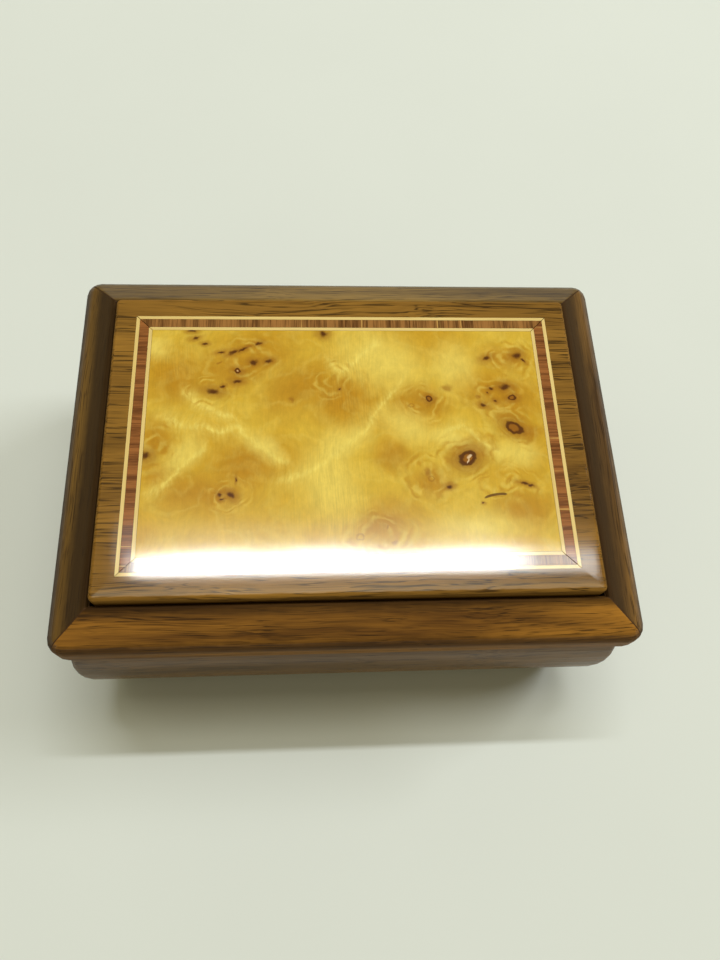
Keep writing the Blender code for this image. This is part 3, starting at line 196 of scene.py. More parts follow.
def new_group(name, inputs, outputs):
    group = bpy.data.node_groups.new(name, "ShaderNodeTree")
    for label, kind, value in inputs:
        socket = group.interface.new_socket(name=label, in_out="INPUT", socket_type="NodeSocket" + kind)
        if value is not None:
            socket.default_value = value
    for label, kind in outputs:
        group.interface.new_socket(name=label, in_out="OUTPUT", socket_type="NodeSocket" + kind)
    return group, group.nodes.new("NodeGroupInput").outputs, group.nodes.new("NodeGroupOutput").inputs


def make_wood_grain():
    """Straight-grained wood along X: broad figure, dark growth lines, fibre and open pores."""
    group, given, out = new_group(
        "wood_grain",
        [("Vector", "Vector", None), ("Light", "Color", paint(WALL_LIGHT)),
         ("Dark", "Color", paint(WALL_DARK)), ("Pore", "Color", paint(WALL_PORE)),
         ("Figure", "Float", 0.5), ("Lines", "Float", 0.5), ("Pores", "Float", 1.0)],
        [("Color", "Color"), ("Height", "Float")])
    place = shifted(group, given["Vector"], (22, 40, 40), 3.5 * MM)
    place = shifted(group, place, (7, 16, 16), 9 * MM)
    figure = noise(group, place, (9, 85, 85), 3)
    grain = noise(group, place, (26, 560, 560), 3, 0.65)
    fibre = noise(group, place, (90, 2600, 2600), 2)
    figure = times(group, minus(group, figure, 0.5), given["Figure"])
    tone = weighed(group, (figure, 3.0), (grain, 0.7), (fibre, 0.35))
    wood = mixed(group, minus(group, tone, 0.03, clamp=True), given["Dark"], given["Light"])
    lines = step_between(group, apart(group, noise(group, place, (20, 900, 900), 2, 0.6), 0.5), 0.05, 0.0)
    breaks = step_between(group, noise(group, place, (45, 260, 260), 2), 0.36, 0.58)
    lines = times(group, times(group, lines, breaks), given["Lines"], clamp=True)
    wood = mixed(group, times(group, lines, 0.8), wood, given["Pore"])
    dashes = noise(group, place, (75, 3000, 3000), 1)
    crowd = noise(group, place, (20, 200, 200), 1)
    dashes = plus(group, dashes, times(group, crowd, 0.25))
    pores = times(group, step_between(group, dashes, 0.70, 0.84), given["Pores"], clamp=True)
    plug(out["Color"], mixed(group, times(group, pores, 0.8), wood, given["Pore"]))
    plug(out["Height"], minus(group, times(group, fibre, 0.15), pores))
    return group


wood_grain = make_wood_grain()


def start_material(name):
    """New material with its node tree, its shader and the place of each surface point."""
    material = bpy.data.materials.new(name)
    material.use_nodes = True
    tree = material.node_tree
    place = add_node(tree, "TexCoord").outputs["Object"]
    return material, tree, tree.nodes["Principled BSDF"], place


def set_shader(shader, **values):
    for name, value in values.items():
        plug(shader.inputs[name.replace("_", " ")], value)


def set_lacquer(shader, coat=1.0, haze=HAZE):
    """Clear gloss lacquer, with a faint haze of light under it where it is rubbed flat."""
    set_shader(shader, Roughness=HAZE_SPREAD if haze else BARE_SPREAD,
               Specular_IOR_Level=max(haze, BARE_SHINE), Coat_Weight=coat, Coat_Roughness=GLOSS,
               Coat_IOR=COAT_IOR)


def set_relief(tree, shader, height, strength, depth):
    bump = add_node(tree, "Bump", {"Height": height, "Strength": strength, "Distance": depth})
    set_shader(shader, Normal=bump.outputs["Normal"])


def lacquered(name, light, dark, pore, turn=0.0, offset=(0, 0, 0), figure=0.5, lines=0.6, pores=1.0,
              coat=1.0, haze=0.0, edges=None):
    """Wood under clear gloss lacquer; turn is the grain's angle from X, in radians.

    The function edges, if given, tells how much painted shade and how dull a finish each place has.
    """
    material, tree, shader, place = start_material(name)
    grain = add_node(tree, "Group", {"Vector": laid(tree, place, turn, offset), "Light": paint(light),
                                     "Dark": paint(dark), "Pore": paint(pore), "Figure": figure,
                                     "Lines": lines, "Pores": pores}, node_tree=wood_grain)
    colour = grain.outputs["Color"]
    set_lacquer(shader, coat, haze)
    if edges:
        painted_shade, dull = edges(tree, place)
        # Painted shade: the wood's colour turns towards the shade colour as far as the first mask goes.
        colour = mixed(tree, painted_shade, colour, paint(PAINTED_SHADE_COLOUR))
        set_shader(shader, Coat_Weight=minus(tree, coat, dull, clamp=True))
        if haze:
            set_shader(shader, Roughness=plus(tree, times(tree, dull, DULL_SPREAD), HAZE_SPREAD))
    set_shader(shader, Base_Color=colour)
    set_relief(tree, shader, grain.outputs["Height"], PORE_RELIEF, PORE_DEPTH)
    return material


def dress(names, material):
    """Gives CAD pieces a finish."""
    for name in names:
        for slot in solids[name].material_slots:
            slot.material = material


for side, turn, offset in (("front", 0, (0, 0, 0)), ("back", 0, (0.3, 0.1, 0)),
                           ("left", ACROSS, (0.5, 0, 0.1)), ("right", ACROSS, (0.7, 0.2, 0))):
    dress(["body_" + side + "_wall"],
          lacquered("walnut_wall_" + side, WALL_LIGHT, WALL_DARK, WALL_PORE, turn, offset, coat=WALL_COAT))

# Glue in the case's mitres: a hair-thin dark line at each corner, where brown glue fills the
# joint from the rim up to the lid. It hardens just below the surface of the wood.
GLUE_DARK = (52, 34, 18)
GLUE_LIGHT = (78, 51, 27)
JOINT = 0.3 * MM
SHRINK = 0.996
ALIGNED = 0.9999


def add_piece(form, name, *materials, crease=None, turn_out=True):
    """Object made of a form, with its faces turned outward and smooth up to the crease angle."""
    if turn_out:
        bmesh.ops.recalc_face_normals(form, faces=form.faces)
    mesh = bpy.data.meshes.new(name)
    form.to_mesh(mesh)
    form.free()
    if crease:
        mesh.shade_smooth()
        mesh.set_sharp_from_angle(angle=math.radians(crease))
    for material in materials:
        mesh.materials.append(material)
    piece = bpy.data.objects.new(name, mesh)
    bpy.context.collection.objects.link(piece)
    return piece


def fill_joint(form, cut, mitre):
    """Thin slab with the outline of a mitre's cut faces, a little smaller than they are."""
    points = [[Vector(corner) for corner in face] for face in cut]
    middle = sum([point for face in points for point in face], Vector())
    middle = middle / sum(len(face) for face in points)
    made = {}
    for face in points:
        ring = []
        for point in face:
            spot = middle + (point - middle) * SHRINK
            key = tuple(round(value, 6) for value in spot)
            if key not in made:
                made[key] = form.verts.new(spot)
            ring.append(made[key])
        form.faces.new(ring)
    skin = [face for face in form.faces if not face.tag]
    thick = bmesh.ops.extrude_face_region(form, geom=skin)
    moved = [item for item in thick["geom"] if isinstance(item, bmesh.types.BMVert)]
    bmesh.ops.translate(form, vec=mitre * JOINT, verts=moved)
    for face in form.faces:
        face.tag = True


def make_mitre_glue(name, prefix, suffix, body):
    """Fills the four joints of a mitred ring, found from its front and back pieces."""
    form = bmesh.new()
    for side, turns in (("front", ((1, 1), (-1, 1))), ("back", ((1, -1), (-1, -1)))):
        solid = solids[prefix + side + suffix].data
        for turn in turns:
            outward = Vector((turn[0], -turn[1], 0)).normalized()
            mitre = Vector((turn[0], turn[1], 0)).normalized()
            cut = [[solid.vertices[i].co for i in face.vertices] for face in solid.polygons
                   if face.normal.dot(mitre) > ALIGNED and face.center.dot(outward) > 0]
            fill_joint(form, cut, mitre)
    piece = add_piece(form, name, brown_glue)
    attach(piece, body)


def make_glue():
    material, tree, shader, place = start_material("brown_glue")
    tone = noise(tree, place, 900, 2)
    set_shader(shader, Base_Color=mixed(tree, tone, paint(GLUE_DARK), paint(GLUE_LIGHT)),
               Roughness=0.6, Specular_IOR_Level=0.1)
    return material


brown_glue = make_glue()
make_mitre_glue("case_mitre_glue", "body_", "_wall", "case")

# Base panel: plywood let into a groove of the walls before they are glued up. It is left bare
# but for a coat of sealer, because felt hides its underside and the tray its top.
BIRCH_PLY = ((214, 178, 128), (176, 134, 86), (132, 92, 54))
dress(["base_panel"], lacquered("birch_ply", *BIRCH_PLY, offset=(0.2, 0.4, 0), figure=0.35, pores=0.35,
                                coat=0.15))

# Base felt: a sheet of green wool felt, cut out round the key and the two screws, and glued
# under the base panel. Its surface is matted wool with loose short hairs.
FELT_GREEN = (38, 78, 50)
FELT_EDGE = 0.15 * MM
WELD = 0.002 * MM
SHARP = 0.6
PILE_RELIEF = 0.6
PILE_DEPTH = 0.2 * MM


def scaled(tree, vector, scale):
    return add_node(tree, "VectorMath", {0: vector, "Scale": scale}, operation="SCALE").outputs[0]


def make_pile():
    """Short fibre: fine specks of light and shade, and broad strokes where the nap lies over."""
    group, given, out = new_group(
        "fibre_pile",
        [("Vector", "Vector", None), ("Color", "Color", paint(FELT_GREEN)), ("Fineness", "Float", 5000.0),
         ("Nap", "Float", 0.3)],
        [("Color", "Color"), ("Height", "Float")])
    finer = scaled(group, given["Vector"], given["Fineness"])
    speck = noise(group, finer, 1, 3, 0.7)
    strokes = noise(group, shifted(group, given["Vector"], 60, 10 * MM), (70, 30, 70), 2)
    tone = times(group, minus(group, strokes, 0.5), given["Nap"])
    tone = plus(group, tone, times(group, speck, 0.5))
    dark = scaled(group, given["Color"], 0.45)
    light = scaled(group, given["Color"], 1.5)
    plug(out["Color"], mixed(group, plus(group, tone, 0.22, clamp=True), dark, light))
    plug(out["Height"], speck)
    return group


fibre_pile = make_pile()


def make_cloth(name, colour, sheen, fineness, nap):
    """Velvet or felt, with sheen where it is seen edge on."""
    material, tree, shader, place = start_material(name)
    pile = add_node(tree, "Group", {"Vector": place, "Color": paint(colour), "Fineness": fineness,
                                    "Nap": nap}, node_tree=fibre_pile)
    set_relief(tree, shader, pile.outputs["Height"], PILE_RELIEF, PILE_DEPTH)
    set_shader(shader, Base_Color=pile.outputs["Color"], Roughness=0.95, Specular_IOR_Level=0.15,
               Sheen_Weight=sheen, Sheen_Roughness=0.35,
               Sheen_Tint=paint([min(255, value * 1.6 + 50) for value in colour]))
    return material


def fasten(piece, body, node):
    """Puts a piece on its body, in place of the plain solid."""
    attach(piece, body)
    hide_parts(node)
    return piece


def soft_copy(name, node, material, edge):
    """Cloth-covered piece in its solid's place, with the turned-over edges rounded."""
    form = bmesh.new()
    form.from_mesh(solids[node].data)
    bmesh.ops.remove_doubles(form, verts=form.verts, dist=WELD)
    bmesh.ops.dissolve_limit(form, angle_limit=math.radians(1), verts=form.verts, edges=form.edges)
    sharp = [line for line in form.edges if line.is_manifold and line.calc_face_angle() > SHARP]
    bmesh.ops.bevel(form, geom=sharp, offset=edge, segments=3, profile=0.5, affect="EDGES")
    piece = add_piece(form, name, material, crease=50, turn_out=False)
    return fasten(piece, solids[node]["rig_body"], node)


felt = soft_copy("felt_under_base", "base_felt", make_cloth("green_felt", FELT_GREEN, 0.4, 3500.0, 0.15),
                 FELT_EDGE)

# Tray lining: cards wrapped in wine-red velvet over thin foam, pressed into the jewelry side.
# The floor card goes in first, the front and back cards next and the end card last.
WINE = (112, 22, 32)
CARD_EDGE = 0.45 * MM
velvet = make_cloth("wine_velvet", WINE, 1.0, 6000.0, 0.8)
for piece_name, node in (("tray_floor_card", "floor_lining"), ("tray_front_card", "front_lining"),
                         ("tray_back_card", "back_lining"), ("tray_end_card", "right_lining")):
    soft_copy(piece_name, node, velvet, CARD_EDGE)

# Ring rolls: three sausages of foam, each wrapped in the same velvet and tucked in at both
# ends. Rings are pushed down into the creases between them.
ROLL_SLACK = 0.7 * MM
ROLL_SWELL = 1.1 * MM
ROLL_END_GAP = 0.6 * MM
ROLL_AXIS = 0.45
ROLL_SIT = 1.25
ROLL_CLEAR = 0.03 * MM
ROLL_RINGS = 36
ROLL_SIDES = 26
SIM_SCALE = 10.0
SIM_FRAMES = 20


def swell(piece, voxel, pressure, reach):
    """Blows up a soft form as cloth, at ten times its size, and keeps each point within reach."""
    remesh = piece.modifiers.new("even_mesh", "REMESH")
    remesh.mode = "VOXEL"
    remesh.voxel_size = voxel * SIM_SCALE
    piece.data.transform(Matrix.Scale(SIM_SCALE, 4))
    depsgraph = bpy.context.evaluated_depsgraph_get()
    even = bpy.data.meshes.new_from_object(piece.evaluated_get(depsgraph))
    piece.modifiers.clear()
    even.materials.clear()
    even.materials.append(piece.data.materials[0])
    piece.data = even
    before = [point.co.copy() for point in even.vertices]
    after = before
    cloth = piece.modifiers.new("swelling", "CLOTH")
    cloth.settings.quality = 4
    cloth.settings.mass = 0.2
    cloth.settings.use_pressure = True
    cloth.settings.uniform_pressure_force = pressure
    cloth.settings.effector_weights.gravity = 0.0
    cloth.point_cache.frame_start = 1
    cloth.point_cache.frame_end = SIM_FRAMES
    for step in range(1, SIM_FRAMES + 1):
        bpy.context.scene.frame_set(step)
    depsgraph = bpy.context.evaluated_depsgraph_get()
    blown = piece.evaluated_get(depsgraph).to_mesh()
    after = [point.co.copy() for point in blown.vertices]
    piece.modifiers.clear()
    bpy.context.scene.frame_set(1)
    limit = reach * SIM_SCALE
    for point, start, end in zip(even.vertices, before, after):
        move = end - start
        if move.length > limit:
            move = move * (limit / move.length)
        point.co = (start + move) / SIM_SCALE
    even.shade_smooth()
    finer = piece.modifiers.new("finer", "SUBSURF")
    finer.levels = 1
    finer.render_levels = 1


def keep_inside(piece, low, high):
    for point in piece.data.vertices:
        for axis in range(3):
            point.co[axis] = min(max(point.co[axis], low[axis]), high[axis])


def close_rings(form, rings):
    """Skins a row of rings, with a face over each end."""
    for ring, following in zip(rings, rings[1:]):
        for k in range(len(ring)):
            n = (k + 1) % len(ring)
            form.faces.new((ring[k], ring[n], following[n], following[k]))
    form.faces.new(list(reversed(rings[0])))
    form.faces.new(rings[-1])


def make_roll(name, node):
    low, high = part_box(node)
    middle_x = (low.x + high.x) / 2
    middle_y = (low.y + high.y) / 2
    half_length = (high.x - low.x - 2 * ROLL_END_GAP) / 2
    half_width = (high.y - low.y) / 2 - ROLL_SLACK
    height = high.z - low.z - ROLL_SLACK
    form = bmesh.new()
    rings = []
    for i in range(ROLL_RINGS + 1):
        share = 2 * i / ROLL_RINGS - 1
        fullness = (1 - abs(share) ** 16) ** 0.5 * 0.5 + 0.5
        ring = []
        for k in range(ROLL_SIDES):
            angle = 2 * math.pi * k / ROLL_SIDES
            up = math.sin(angle)
            rise = (1 - ROLL_AXIS) * up if up > 0 else ROLL_AXIS * max(up * ROLL_SIT, -1)
            ring.append(form.verts.new((middle_x + share * half_length,
                                        middle_y + half_width * fullness * math.cos(angle),
                                        low.z + height * ROLL_AXIS + height * rise * fullness)))
        rings.append(ring)
    close_rings(form, rings)
    piece = add_piece(form, name, velvet)
    swell(piece, 1.3 * MM, 6.0, ROLL_SWELL)
    clearance = Vector((ROLL_CLEAR, ROLL_CLEAR, 0))
    keep_inside(piece, low + clearance, high - clearance)
    fasten(piece, "case", node)


for number in (1, 2, 3):
    make_roll("velvet_roll_%d" % number, "ring_roll_%d" % number)

# Partition, ledge and cover of the movement's bay. The partition is a velvet-wrapped board
# with a step for the clear acrylic cover, whose other edge lies on a glued walnut ledge.
PARTITION_EDGE = 0.4 * MM
ACRYLIC = (0.93, 0.95, 0.94, 1)
ACRYLIC_SHADE = (0.9, 0.92, 0.91, 1)
ACRYLIC_IOR = 1.49
soft_copy("partition_in_velvet", "partition", velvet, PARTITION_EDGE)
dress(["cover_ledge"], lacquered("walnut_ledge", WALL_LIGHT, WALL_DARK, WALL_PORE, ACROSS, (0.1, 0.6, 0)))


def make_acrylic():
    """Clear sheet that lets lamps through, with faint scuffs from dusting."""
    material, tree, shader, place = start_material("clear_acrylic")
    scuff = step_between(tree, noise(tree, place, (300, 2500, 300), 3), 0.58, 0.8)
    set_shader(shader, Roughness=plus(tree, times(tree, scuff, 0.12), 0.02), Base_Color=ACRYLIC,
               Transmission_Weight=1.0, IOR=ACRYLIC_IOR)
    clear = add_node(tree, "BsdfTransparent", {"Color": ACRYLIC_SHADE})
    path = add_node(tree, "LightPath")
    either = add_node(tree, "MixShader", {0: path.outputs["Is Shadow Ray"],
                                          1: shader.outputs[0], 2: clear.outputs[0]})
    plug(tree.nodes["Material Output"].inputs["Surface"], either.outputs[0])
    return material


dress(["movement_cover"], make_acrylic())

# Movement: a die-cast zinc bedplate carries the spring, the pinned brass cylinder between two
# steel brackets, the tuned steel comb and the governor. Two screws from below hold it down.
SCRATCH_DEPTH = 0.05 * MM


def make_metal_face():
    """Tool marks drawn out along X, and the duller patches that handling leaves."""
    group, given, out = new_group(
        "metal_face",
        [("Vector", "Vector", None), ("Tarnish", "Float", 0.3)],
        [("Marks", "Float"), ("Patches", "Float")])
    marks = noise(group, given["Vector"], (150, 6000, 6000), 3, 0.6)
    patches = noise(group, shifted(group, given["Vector"], 200, 4 * MM), 160, 4, 0.6)
    plug(out["Marks"], marks)
    plug(out["Patches"], times(group, step_between(group, patches, 0.42, 0.68), given["Tarnish"]))
    return group


metal_face = make_metal_face()


def make_metal(name, colour, tarnished, roughness, tarnish=0.3, turn=0.0, grit=0.0):
    """Metal with tool marks along its turn, and with the grit of a casting, if any."""
    material, tree, shader, place = start_material(name)
    place = laid(tree, place, turn)
    face = add_node(tree, "Group", {"Vector": place, "Tarnish": tarnish}, node_tree=metal_face)
    marks = face.outputs["Marks"]
    patches = face.outputs["Patches"]
    rough = plus(tree, weighed(tree, (marks, 0.16), (patches, 0.3)), roughness - 0.08)
    set_shader(shader, Base_Color=mixed(tree, patches, paint(colour), paint(tarnished)), Roughness=rough,
               Metallic=1.0)
    height = plus(tree, marks, noise(tree, place, 1800, 3)) if grit else marks
    set_relief(tree, shader, height, 0.15 + grit, SCRATCH_DEPTH)
    return material


bright_steel = make_metal("bright_steel", (196, 198, 200), (150, 148, 142), 0.24)
comb_steel = make_metal("comb_steel", (186, 189, 193), (140, 142, 146), 0.30, turn=ACROSS)
turned_brass = make_metal("turned_brass", (226, 190, 118), (178, 140, 78), 0.24, turn=ACROSS)
plain_brass = make_metal("plain_brass", (222, 184, 108), (170, 130, 70), 0.30)
cast_zinc = make_metal("cast_zinc", (168, 169, 168), (132, 132, 130), 0.46, 0.5, grit=0.25)
dress(["movement_bedplate"], cast_zinc)
dress(["spring_housing", "front_bearing_bracket", "rear_bearing_bracket", "governor_frame",
       "mounting_screw_1", "mounting_screw_2", "comb_screw_1", "comb_screw_2"], bright_steel)
dress(["comb", "mainspring"], comb_steel)
dress(["pinned_cylinder", "great_wheel"], turned_brass)
dress(["governor_wheel"], plain_brass)

# Running parts that aren't steel or brass to look at: a moulded nylon wheel on the cylinder's
# arbor, and the nickel-plated steel fly, stop lever, arbor and winding key.
NYLON_SHADE = (216, 212, 198)
NYLON_LIGHT = (238, 235, 224)


def make_nylon():
    material, tree, shader, place = start_material("white_nylon")
    tone = noise(tree, place, 400, 3)
    set_shader(shader, Base_Color=mixed(tree, tone, paint(NYLON_SHADE), paint(NYLON_LIGHT)),
               Roughness=plus(tree, times(tree, tone, 0.2), 0.3), Subsurface_Weight=0.15,
               Subsurface_Scale=2 * MM)
    return material


dress(["cylinder_wheel"], make_nylon())
nickel = make_metal("nickel_plate", (206, 202, 192), (168, 160, 146), 0.18, 0.25)
dress(["governor_fly", "stop_lever", "winding_arbor", "winding_key"], nickel)

# Lid frame: four lengths of solid walnut moulding with a round nose, a slope and a small bead
# beside the groove, mitred and glued. They are a little redder and lighter than the case. Shade
# is painted into their colour in the hollow by the groove and under the nose, a little less of
# it on the nose's bottom arris, and each rail is painted lighter or darker for its side's light.
FRAME_LIGHT = (182, 126, 46)
FRAME_DARK = (88, 56, 20)
FRAME_PORE = (44, 26, 9)
GROOVE_START = 8.2 * MM
GROOVE_FULL = 9.8 * MM
NOSE_START = 9.6 * MM
NOSE_FULL = 7.4 * MM
NOSE_DULL = 0.88
ARRIS = 4.4 * MM
ARRIS_END = 6.6 * MM
# Strength of the painted shade under the nose: less on the bottom arris, more above it.
ARRIS_SHADE = 0.43
NOSE_SHADE = 0.76
lid_reach = cad_box[1]
frame_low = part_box("lid_frame_front")[0].z


def inward_from(tree, place, reach):
    """Metres in from the edges of a rectangle round the origin, and the height."""
    parts = add_node(tree, "SeparateXYZ", {0: shifted(tree, place, 300, 0.8 * MM)}).outputs
    gaps = [minus(tree, limit, apart(tree, parts[axis], 0.0))
            for axis, limit in (("X", reach[0]), ("Y", reach[1]))]
    return math_of(tree, "MINIMUM", *gaps), parts["Z"]


def frame_edges(start, full, depth):
    """Painted shade from start to full metres in and under the nose; groove and nose are duller."""

    def edges(tree, place):
        inward, height = inward_from(tree, place, lid_reach)
        hollow = times(tree, step_between(tree, inward, start, full), depth)
        groove = step_between(tree, inward, GROOVE_START, GROOVE_FULL)
        nose = step_between(tree, height, frame_low + NOSE_START, frame_low + NOSE_FULL)
        nose_shade = step_between(tree, height, frame_low + ARRIS, frame_low + ARRIS_END)
        nose_shade = plus(tree, times(tree, nose_shade, NOSE_SHADE - ARRIS_SHADE), ARRIS_SHADE)
        dark = math_of(tree, "MAXIMUM", hollow, times(tree, nose, nose_shade))
        return dark, math_of(tree, "MAXIMUM", groove, times(tree, nose, NOSE_DULL))

    return edges


def toned(colour, tone):
    return [value * part for value, part in zip(colour, tone)]


# Each rail's tone paints light and shade on its side: the front rail lighter, the back and end rails
# darker, and the back and right rails bluer, a painted sheen of pale light.
for side, turn, offset, tone, start, full, depth in (
        ("front", 0, (0.11, 0.3, 0.02), (1.05, 1.04, 1.02), 6.8 * MM, 10.2 * MM, 0.85),
        ("back", 0, (0.9, 0.5, 0.1), (0.78, 0.88, 1.1), 9.4 * MM, 10.6 * MM, 0.6),
        ("left", ACROSS, (0.2, 0.8, 0.3), (0.76, 0.82, 1.02), 2.8 * MM, 6.4 * MM, 0.9),
        ("right", ACROSS, (0.6, 0.4, 0.2), (0.82, 0.87, 1.2), 2.8 * MM, 7.4 * MM, 0.9)):
    dress(["lid_frame_" + side],
          lacquered("walnut_frame_" + side, toned(FRAME_LIGHT, tone), toned(FRAME_DARK, tone), FRAME_PORE,
                    turn, offset, figure=0.8, edges=frame_edges(start, full, depth)))
make_mitre_glue("lid_mitre_glue", "lid_frame_", "", "lid")

# Lid panel: a raised panel with a small round shoulder, whose edge stands just above the
# groove. Walnut veneer covers it, with the grain along the box on all sides of the inlay.
PANEL_WOOD = ((162, 118, 48), (94, 64, 24), (46, 30, 12))
VENEER_JOINT = 0.2 * MM
PANEL_CORNER = 1.4 * MM
PANEL_EDGE = 1.3 * MM
SHOULDER = 1.0 * MM
SHOULDER_DROP = 0.7 * MM
SHOULDER_CURVE = 2.2
SHOULDER_STEPS = 12
CORNER_STEPS = 6
SHOULDER_SHADE = 0.25
POCKET_DEPTH = 0.9 * MM
half_joint = Vector((VENEER_JOINT / 2, VENEER_JOINT / 2, 0))
panel_low, panel_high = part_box("lid_panel")
inlay_low, inlay_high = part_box("inlay_outer_line")
inlay_low = inlay_low - half_joint
inlay_high = inlay_high + half_joint
panel_top = inlay_high.z


def panel_edges(tree, place):
    """The shoulder has a little painted shade below, and is duller than the flat."""
    inward, height = inward_from(tree, place, panel_high)
    edge = step_between(tree, height, panel_top - SHOULDER_DROP * 0.25, panel_top - SHOULDER_DROP * 1.4)
    return times(tree, edge, SHOULDER_SHADE), step_between(tree, inward, PANEL_EDGE, PANEL_EDGE * 0.6)


def rounded_ring(form, reach, radius, z):
    """Points round a rectangle about the origin, with rounded corners."""
    ring = []
    for quarter, (side_x, side_y) in enumerate(((1, 1), (-1, 1), (-1, -1), (1, -1))):
        for i in range(CORNER_STEPS + 1):
            angle = math.pi / 2 * (quarter + i / CORNER_STEPS)
            ring.append(form.verts.new((side_x * (reach[0] - radius) + radius * math.cos(angle),
                                        side_y * (reach[1] - radius) + radius * math.sin(angle), z)))
    return ring


def make_panel(material):
    """Board with a round shoulder, and a pocket in its top for the inlay and the burl."""
    pocket = panel_high.x - inlay_high.x
    steps = [i / SHOULDER_STEPS for i in range(SHOULDER_STEPS + 1)]
    curve = [(SHOULDER * step, SHOULDER_DROP * (1 - step) ** SHOULDER_CURVE) for step in steps]
    profile = [(0, panel_top - panel_low.z)] + curve + [(pocket, 0), (pocket, POCKET_DEPTH)]
    form = bmesh.new()
    close_rings(form, [rounded_ring(form, (panel_high.x - inset, panel_high.y - inset),
                                    max(PANEL_CORNER - inset, 0.03 * MM), panel_top - drop)
                       for inset, drop in profile])
    fasten(add_piece(form, "raised_panel", material, crease=40), "lid", "lid_panel")


make_panel(lacquered("walnut_panel", *PANEL_WOOD, offset=(0.35, 0.15, 0.05), figure=0.6, lines=1.3,
                     pores=0.25, haze=HAZE, edges=panel_edges))

# Inlay: two lines of boxwood with a cross-grained band between them, cut as strips with
# mitred ends and laid into the panel, flush with it.
BOXWOOD = ((236, 212, 146), (214, 184, 110), (182, 146, 78))
BAND_SPARK = (214, 168, 92)
LINE = 0.98 * MM
BAND = 2.66 * MM
KNIFE_CUT = 0.05 * MM
MITRE_GAP = 0.12 * MM
VENEER_SINK = 0.25 * MM


def make_strips(name, node, outer, inner, along_x, along_y):
    """Four strips round the field, from outer to inner metres in from the inlay's edge."""
    form = bmesh.new()
    middle = (inlay_low + inlay_high) / 2
    far = [(inlay_high.x - middle.x - inset, inlay_high.y - middle.y - inset) for inset in (outer, inner)]
    cut = KNIFE_CUT / 2
    for turn in range(4):
        sideways = turn % 2
        a, b = [(reach[1], reach[0]) if sideways else reach for reach in far]
        plan = [(-a[0] + cut + MITRE_GAP, -a[1] + cut), (a[0] - cut - MITRE_GAP, -a[1] + cut),
                (b[0] + cut - MITRE_GAP, -b[1] - cut), (-b[0] - cut + MITRE_GAP, -b[1] - cut)]
        about = Matrix.Rotation(math.pi / 2 * turn, 2)
        rings = []
        for z in (inlay_low.z - VENEER_SINK, panel_top):
            rings.append([form.verts.new((*(about @ Vector(p) + middle.to_2d()), z)) for p in plan])
        faces = [form.faces.new(rings[1]), form.faces.new(list(reversed(rings[0])))]
        for k in range(4):
            n = (k + 1) % 4
            faces.append(form.faces.new((rings[0][k], rings[0][n], rings[1][n], rings[1][k])))
        for face in faces:
            face.material_index = sideways
    fasten(add_piece(form, name, along_x, along_y), "lid", node)


def stained(tree, colour, mask, strength, stain):
    """A colour that turns to the stain where the mask is 1, as far as the strength goes."""
    return mixed(tree, times(tree, mask, strength, clamp=True), colour, paint(stain))


def make_cross_band(name, turn, light, dark):
    """Brown veneer cut across the grain: close stripes over the band, light and dark by turns."""
    material, tree, shader, place = start_material(name)
    place = laid(tree, place, turn)
    fine = noise(tree, place, (2600, 90, 90), 3, 0.7)
    broad = noise(tree, place, (460, 20, 20), 2)
    tone = minus(tree, weighed(tree, (fine, 0.8), (broad, 0.7)), 0.3, clamp=True)
    colour = mixed(tree, step_between(tree, tone, 0.24, 0.62), paint(dark), paint(light))
    spark = step_between(tree, noise(tree, place, (700, 20, 20), 1), 0.68, 0.73)
    set_shader(shader, Base_Color=stained(tree, colour, spark, 0.6, BAND_SPARK))
    set_lacquer(shader)
    return material


box_x = lacquered("boxwood_x", *BOXWOOD, offset=(0.4, 0, 0), lines=0.2, pores=0.2, haze=HAZE)
box_y = lacquered("boxwood_y", *BOXWOOD, ACROSS, lines=0.2, pores=0.2, haze=HAZE)
make_strips("boxwood_outer_line", "inlay_outer_line", 0.0, LINE, box_x, box_y)
make_strips("cross_grained_band", "inlay_cross_band", LINE, LINE + BAND,
            make_cross_band("cross_band_x", 0.0, (158, 110, 58), (90, 56, 25)),
            make_cross_band("cross_band_y", ACROSS, (158, 100, 52), (98, 56, 26)))
make_strips("boxwood_inner_line", "inlay_inner_line", LINE + BAND, 2 * LINE + BAND, box_x, box_y)

